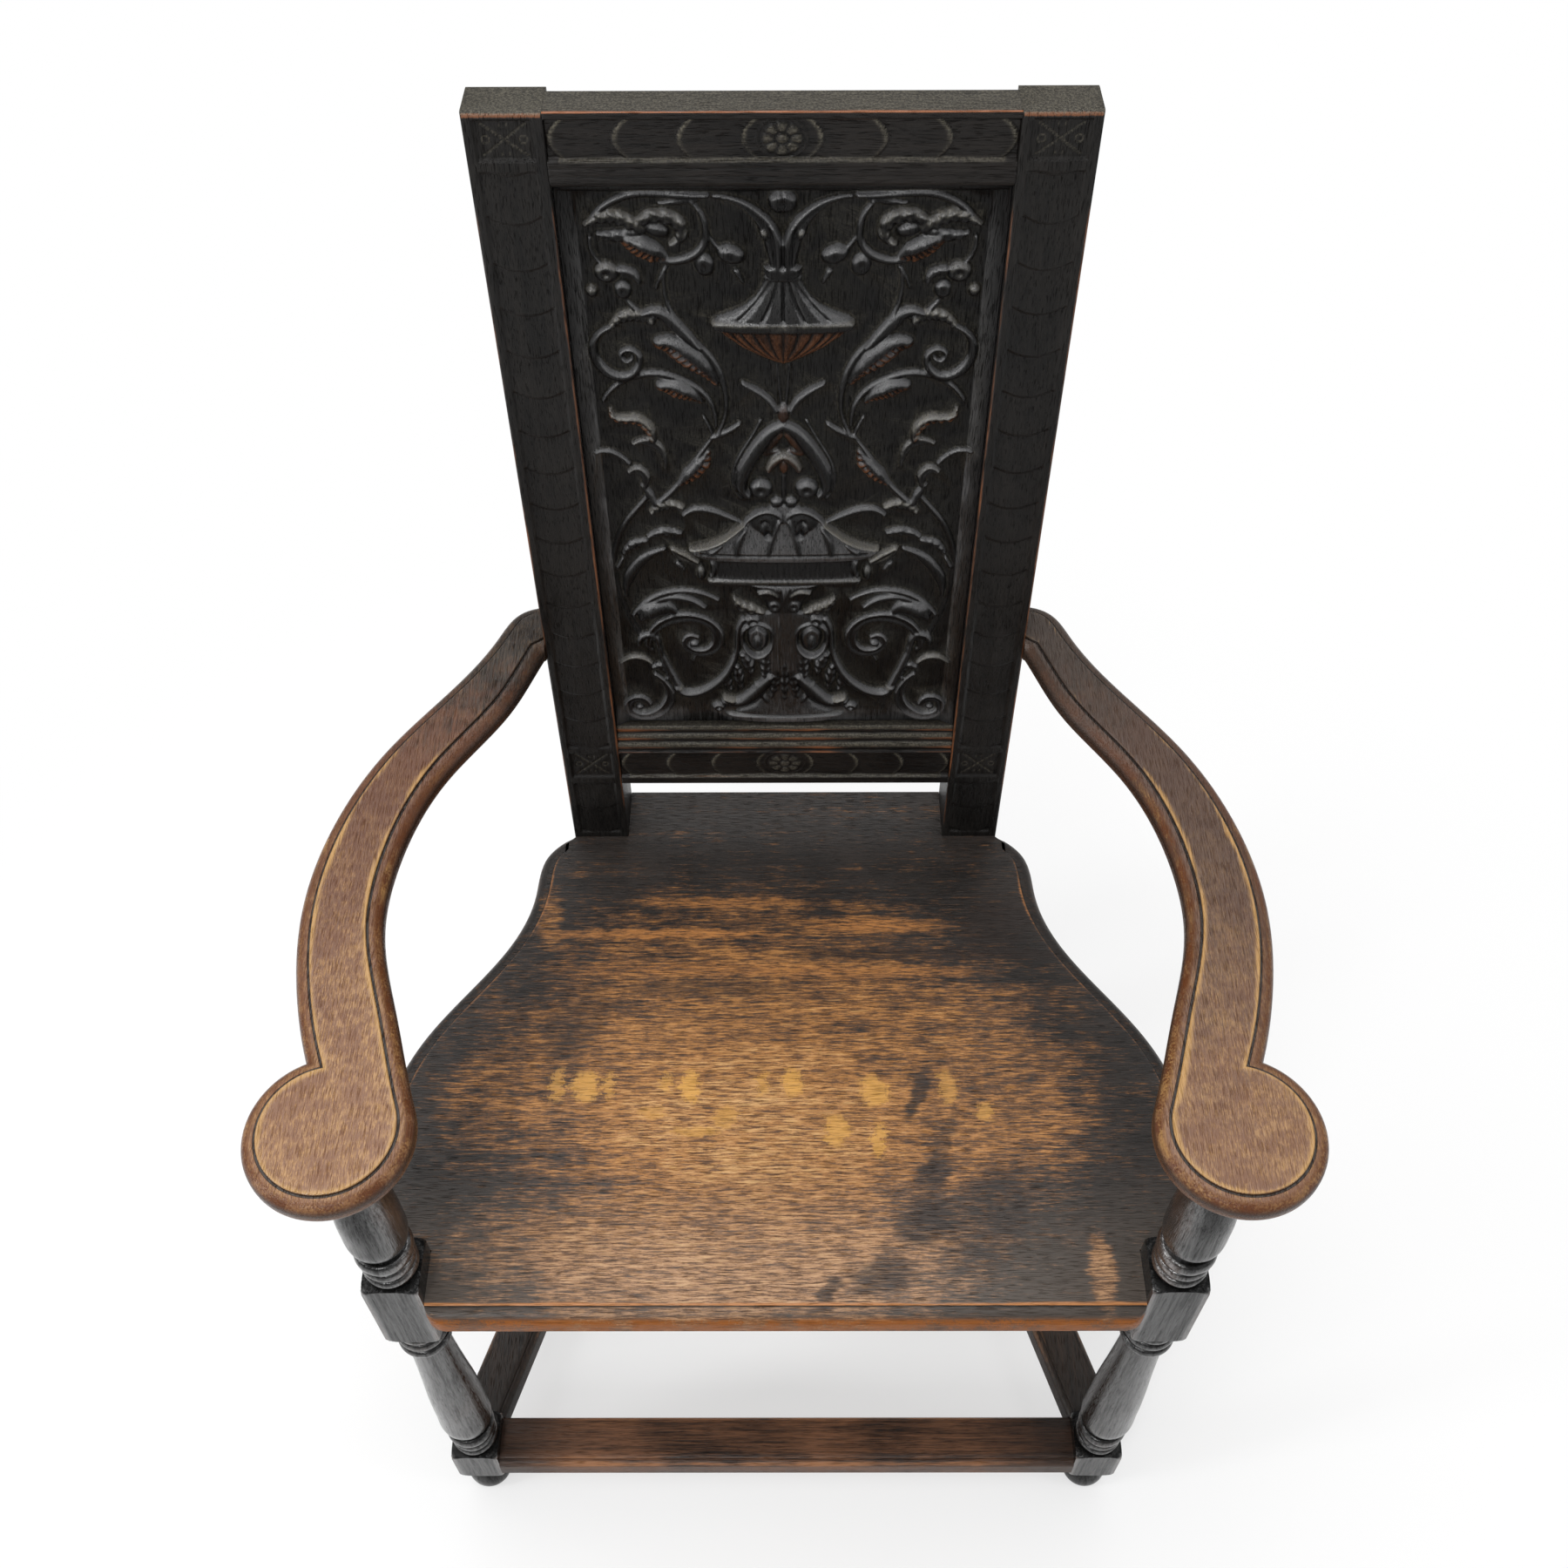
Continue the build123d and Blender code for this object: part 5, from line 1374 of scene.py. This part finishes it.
def seat_colours(colour, at, grain):
    """Golden where it is sat on, grey-black towards the edges and the back, with stains and rays,
    and a painted sheen over the front.
    """
    x = at.part("X") + (grain.noise(170.0, 4.0, 0.65) - 0.5) * 0.022
    y = at.part("Y") + (at.noise(70.0, 3.0, 0.6) - 0.5) * 0.012

    def together(places, across, edge):
        """1 inside any of the ovals, falling to 0 past their edges."""
        total = 0.0
        for centre_x, centre_y, half_x, half_y, strength in places:
            u = (across - centre_x * MM) / (half_x * MM)
            v = (y - centre_y * MM) / (half_y * MM)
            total = (u * u + v * v).between(1.0 + edge, 1.0 - edge, 0.0, strength).at_least(total)
        return total

    tints = at.mapped(Scale=(0.10, 1.0, 1.0)).noise(620.0, 5.0, 0.8)
    mottle = (grain.noise(150.0, 5.0, 0.7) - 0.5) * 1.2 + (at.noise(38.0, 6.0, 0.7) - 0.5) * 1.2
    mottle = mottle + (tints - 0.5) * 3.0
    rubbed = together(sat_on, x, 0.85) + mottle * 0.95
    colour = rubbed.between(0.18, 0.56).blend(colour, red_brown)
    colour = rubbed.between(0.45, 1.00).blend(colour, golden)
    colour = rubbed.between(0.90, 1.50).blend(colour, pale_golden)
    # painted sheen: the golden front of the seat is greyed and lightened
    front_sheen = y.between(-0.10, -0.20)
    colour = (front_sheen * rubbed.between(0.3, 1.1, 0.12, 0.34)).blend(colour, sheen_golden)
    lined = tints.between(0.54, 0.40) * rubbed.between(0.2, 0.7) * 0.9
    colour = lined.blend(colour, fine_dark)
    streaked = together(streaks, x, 0.8) * tints.between(0.38, 0.58, 0.1, 1.0)
    colour = streaked.blend(colour, streak_golden)
    broken_x = x + (at.noise(420.0, 4.0, 0.7) - 0.5) * 0.020
    flecked = together(ray_flecks, broken_x, 0.6) * tints.between(0.30, 0.50, 0.5, 1.0)
    colour = flecked.blend(colour, fleck_golden)
    slanting = at.mapped(Rotation=(0.0, 0.0, radians(38.0)), Scale=(0.10, 1.0, 1.0))
    scratched = slanting.noise(330.0, 2.0, 0.5).between(0.66, 0.74) * together(scratched_place, x, 0.5)
    colour = scratched.blend(colour, scratch_golden)
    stained = together(stains, x - y * 0.36, 0.6) * tints.between(0.42, 0.70, 1.0, 0.70)
    return stained.blend(colour, stain_black)


seat_oak = oak(
    "seat_board_oak",
    along="X",
    dark=(0.0085, 0.0068, 0.0058),
    body=(0.030, 0.0225, 0.0185),
    worn=(0.42, 0.170, 0.050),
    gloss=0.36,
    shine=0.42,
    polish=0.2,
    pore=0.42,
    seed=7.7,
    patches=seat_colours,
    warm=(0.27, 0.088, 0.018),
)


def seat_board():
    """The board as a stack of outlines. Its sides and its back edge are less rubbed than its front."""
    rings = []
    for margin, level, wear, black, warmer in seat_layers():
        half = seat_outline(margin)
        ring = np.concatenate([half, half[::-1] * (-1, 1)])
        at_side = (np.abs(ring[:, 0]) > post_inner_x + 1.0) | (ring[:, 1] > post_back_y + 1.0)
        fading = ease(-ring[:, 1], -back_face_y + 6.0, -back_face_y + 30.0)
        fading[:4] = 0.0
        fading[-4:] = 0.0
        marks = {
            "worn": wear * np.where(at_side, 0.62, 1.0) * fading,
            "soot": black * fading,
            "warm": warmer * np.where(at_side, 0.12, 1.0) * fading,
        }
        rings.append((np.column_stack([ring, np.full(len(ring), level)]), marks))
    return ringed("seat_board_moulded", rings, seat_oak, crisp=30.0)


place(seat_board(), "seat_board")


# ------------------------------------------------------------------ arms
# Each arm is sawn from one thick oak board into a long double sweep that ends in a round disc
# over the post. Its butt is tenoned into the stile. An ovolo and a quirk run all round the top.
arm_outer = [(0.246, -0.1075), (0.385, -0.0445), (0.642, 0.0705), (1.096, 0.2355), (1.358, 0.3875)]
arm_outer += [(1.476, 0.5865), (1.39, 0.7515)]
arm_inner = [(0.711, 0.7775), (0.882, 0.6205), (0.861, 0.474), (0.61, 0.284), (0.215, 0.1255)]
disc_radius = 51.45
disc_notch = radians(65.0)
disc_throat = radians(160.0)
butt_back_y = back_face_y + 49.97
butt_front_y = back_face_y + 4.0
arm_edge = 10.0
arm_round = 8.2
arm_quirk = 1.5
arm_under_round = 7.0
arm_top = arm_high[2]
arm_dark_y = 160.0
arm_rubbed_y = 20.0


def disc_point(angle, radius):
    """A point on a circle round the middle of the arm's disc."""
    return np.array((post_x + radius * cos(angle), post_y + radius * sin(angle)))


def arm_line(places, before, after, count, **ways):
    """A curve through places given as shares of the way from the stile out and forwards to the post."""
    places = np.array(places) * (post_x - stile_outer, post_y - back_face_y) + (stile_outer, back_face_y)
    return smooth_curve([before, *places, after], count, **ways)


arm_outer_line = arm_line(arm_outer, (stile_outer, butt_back_y), disc_point(disc_notch, disc_radius), 110)
arm_inner_line = arm_line(
    arm_inner,
    disc_point(disc_throat, disc_radius),
    (stile_outer, butt_front_y),
    100,
    start_way=(sin(disc_throat), -cos(disc_throat)),
    end_way=(-0.36, 0.93),
)


def arm_outline(margin):
    """The right arm from above, drawn in by a margin, from the butt's back corner round the disc."""
    outer = drawn_in(arm_outer_line, margin)
    inner = drawn_in(arm_inner_line, margin)
    radius = disc_radius - margin
    way = outer[-1] - outer[-2]
    way /= np.linalg.norm(way)
    from_centre = outer[-1] - (post_x, post_y)
    along = from_centre.dot(way)
    run = -along - np.sqrt(max(along**2 - from_centre.dot(from_centre) + radius**2, 0.0))
    meeting = from_centre + way * run
    angles = np.linspace(np.arctan2(meeting[1], meeting[0]), disc_throat - 2 * pi, 74)
    disc = [disc_point(angle, radius) for angle in angles]
    inner = inner[1:]
    inner[:, 1] = np.minimum(inner[:, 1], butt_front_y + margin)
    outline = np.concatenate([outer, disc, inner, [(stile_outer, butt_front_y + margin)]])
    outline[:, 0] = np.maximum(outline[:, 0], stile_outer)
    return outline


def arm_layers():
    """Margin, height, wear, soot and warmth of the rings round the arm's edge, from below upwards.
    Under the arm and on the lower part of its ovolo the soot is painted shade.
    """
    low_top = arm_top - arm_quirk
    # painted shade under the arm and round its lower edge
    layers = [(arm_under_round + 3.0, arm_under, 0.0, 0.6, 0.0)]
    for turn in np.linspace(0, pi / 2, 7):
        margin = arm_under_round * (1 - sin(turn))
        layers.append((margin, arm_under + arm_under_round * (1 - cos(turn)), 0.0, 0.3, 0.8))
    for turn, margin, level in ovolo(arm_round, low_top, 9):
        # painted shade: the lower, down-turned part of the ovolo is darkened
        underside_shade = 0.75 * ease(-turn, -0.75, -0.15)
        crest = ease(turn, 0.95, 1.45)
        layers.append((margin, level, 0.55 * sin(2 * turn), underside_shade, 1.0 - 0.75 * crest))
    return layers + [
        (arm_round + 0.3, low_top - 0.3, 0.0, 0.95, 0.0),
        (arm_edge - 0.1, low_top - 0.3, 0.0, 0.95, 0.0),
        (arm_edge, arm_top - 0.4, 0.6, 0.2, 0.0),
        (arm_edge + 0.6, arm_top, 0.85, 0.0, 0.0),
        (arm_edge + 2.2, arm_top, 0.60, 0.0, 0.0),
        (arm_edge + 6.0, arm_top, 0.05, 0.0, 0.0),
    ]


arm_brown = (0.115, 0.048, 0.026)
arm_tan = (0.190, 0.088, 0.045)
arm_golden = (0.48, 0.275, 0.112)
# the colour of the painted shade over the right arm
right_arm_painted_shade = (0.058, 0.040, 0.031)


def arm_colours(colour, at, grain):
    """Grey-black at the butt, red-brown in the middle, and rubbed tan towards the disc, with
    painted shade over the right arm.
    """
    along = at.part("Y") + (at.noise(45.0, 5.0, 0.65) - 0.5) * 0.16
    along = along + (grain.noise(420.0, 3.0, 0.65) - 0.5) * 0.12
    colour = along.between(0.19, 0.08).blend(colour, arm_brown)
    colour = along.between(0.06, -0.22).blend(colour, arm_tan)
    flecks = at.mapped(Scale=(1.0, 0.16, 1.0)).noise(1000.0, 4.0, 0.8)
    flecks = flecks + (at.noise(60.0, 6.0, 0.75) - 0.5) * 0.7
    rubbed = flecks.between(0.42, 0.72) * along.between(0.12, -0.16, 0.10, 0.76)
    colour = rubbed.blend(colour, arm_golden)
    # painted shade: the right arm is darkened, most towards its butt
    right_arm_shade = at.part("X").between(0.0, 0.01) * along.between(-0.22, 0.04, 0.15, 0.68)
    return right_arm_shade.blend(colour, right_arm_painted_shade)


arm_oak = oak(
    "arm_oak",
    along="Y",
    dark=(0.0140, 0.0095, 0.0070),
    body=(0.040, 0.0340, 0.0290),
    worn=(0.42, 0.235, 0.080),
    warm=(0.105, 0.036, 0.0135),
    warm_shine=0.5,
    gloss=0.24,
    shine=0.42,
    polish=0.2,
    pore=0.22,
    seed=9.1,
    patches=arm_colours,
)


def arm(side, name):
    """The right arm (side 1) or the left one (side -1), more rubbed towards its disc."""
    rings = []
    for margin, level, wear, black, warmer in arm_layers():
        ring = arm_outline(margin) * (side, 1)
        forward = ease(-ring[:, 1], -arm_dark_y, -arm_rubbed_y)
        marks = {
            "worn": wear * (0.35 + 0.65 * forward),
            "soot": np.full(len(ring), black),
            "warm": warmer * (0.25 + 0.75 * forward),
        }
        rings.append((np.column_stack([ring, np.full(len(ring), level)]), marks))
    return ringed(name, rings, arm_oak, crisp=30.0)


for side, hand in HANDS:
    place(arm(side, f"arm_{hand}_moulded"), f"arm_{hand}")


# ------------------------------------------------------------------ pegs and glue blocks
# Riven oak pegs draw every tenon tight and stand a little proud of the wood that they were driven
# into. Sawn blocks are rubbed into the corners under the seat with hot glue, and stay raw.
peg_oak = oak("peg_oak", "Y", (0.008, 0.006, 0.005), (0.030, 0.019, 0.013), (0.15, 0.07, 0.03), seed=6.4)
for node in ("back_frame_pegs", "seat_rail_pegs", "stretcher_pegs", "arm_pegs"):
    dress(node, peg_oak)

raw_colours = ((0.05, 0.034, 0.022), (0.17, 0.115, 0.070), (0.2, 0.14, 0.09))
dress("seat_glue_blocks", oak("raw_oak", "X", *raw_colours, gloss=0.70, seed=8.8))


# ------------------------------------------------------------------ studio
# A pale floor, a soft white sky and four broad soft lamps, and the camera above the seat.
# The studio is measured in metres.
floor_reach = 14.0
floor_white = (0.93, 0.93, 0.93)
camera_place = (0.00278, -0.63175, 1.58206)
camera_down = radians(52.0)
camera_turn = radians(-0.25)
camera_roll = radians(-0.30)
sky_light = 0.40


def stand(name, data):
    """A thing of the studio, in the scene."""
    obj = bpy.data.objects.new(name, data)
    bpy.context.scene.collection.objects.link(obj)
    return obj


def lamp(name, place_of, target, width, height, power):
    """A soft oblong lamp that points at a target."""
    data = bpy.data.lights.new(name, "AREA")
    data.shape = "RECTANGLE"
    data.size = width
    data.size_y = height
    data.energy = power
    way = Vector(target) - Vector(place_of)
    turned_to = way.to_track_quat("-Z", "Y").to_matrix().to_4x4()
    stand(name, data).matrix_world = Matrix.Translation(place_of) @ turned_to


# The floor is a matt white. The camera sees it pale near the chair and plain white far away.
floor_mesh = bpy.data.meshes.new("studio_floor")
corners = [(x * floor_reach, y * floor_reach, 0) for x, y in ((-1, -1), (1, -1), (1, 1), (-1, 1))]
floor_mesh.from_pydata(corners, [], [(0, 1, 2, 3)])
floor_material, tree, at = surface("studio_floor_white")
away = Value(tree, "ShaderNodeVectorMath", "Value", {0: at}, operation="LENGTH")
seen = Value(tree, "ShaderNodeLightPath", "Is Camera Ray") * away.between(0.35, 1.15, 0.55, 1.0)
matt = Value(tree, "ShaderNodeBsdfDiffuse", 0, {"Color": floor_white})
white = Value(tree, "ShaderNodeEmission", 0, {"Strength": 1.0})
shown(Value(tree, "ShaderNodeMixShader", 0, {0: seen, 1: matt, 2: white}))
floor_mesh.materials.append(floor_material)
stand("studio_floor", floor_mesh)

lamp("lamp_above", (-0.3, 0.4, 3.3), (0.0, 0.0, 0.4), 3.0, 3.0, 70.0)
lamp("lamp_front", (-0.9, -2.3, 2.7), (0.0, 0.1, 0.7), 0.6, 1.0, 34.0)
lamp("lamp_left", (-2.8, -0.9, 1.9), (0.0, 0.0, 0.5), 0.45, 2.2, 28.0)
lamp("lamp_right", (2.8, -0.9, 1.9), (0.0, 0.0, 0.5), 0.35, 2.2, 10.0)

level_reach = cos(camera_down)
forward = Vector((sin(camera_turn) * level_reach, cos(camera_turn) * level_reach, -sin(camera_down)))
right = Vector((cos(camera_turn), -sin(camera_turn), 0.0))
up = right.cross(forward)
rolled_right = cos(camera_roll) * right + sin(camera_roll) * up
rolled_up = -sin(camera_roll) * right + cos(camera_roll) * up
camera_data = bpy.data.cameras.new("studio_camera")
camera_data.sensor_width = 36.0
camera_data.lens = 37.875
camera = stand("studio_camera", camera_data)
camera_turned = Matrix((rolled_right, rolled_up, -forward)).transposed().to_4x4()
camera.matrix_world = Matrix.Translation(camera_place) @ camera_turned
bpy.context.scene.camera = camera

sky = bpy.data.worlds.new("studio_sky")
sky.use_nodes = True
backdrop = sky.node_tree.nodes["Background"]
backdrop.inputs["Color"].default_value = (1.0, 1.0, 1.0, 1.0)
seen = Value(sky.node_tree, "ShaderNodeLightPath", "Is Camera Ray")
strength = Value(sky.node_tree, "ShaderNodeMapRange", 0, {"Value": seen, "To Min": sky_light})
sky.node_tree.links.new(strength.socket, backdrop.inputs["Strength"])
bpy.context.scene.world = sky
bpy.context.scene.view_settings.view_transform = "Standard"
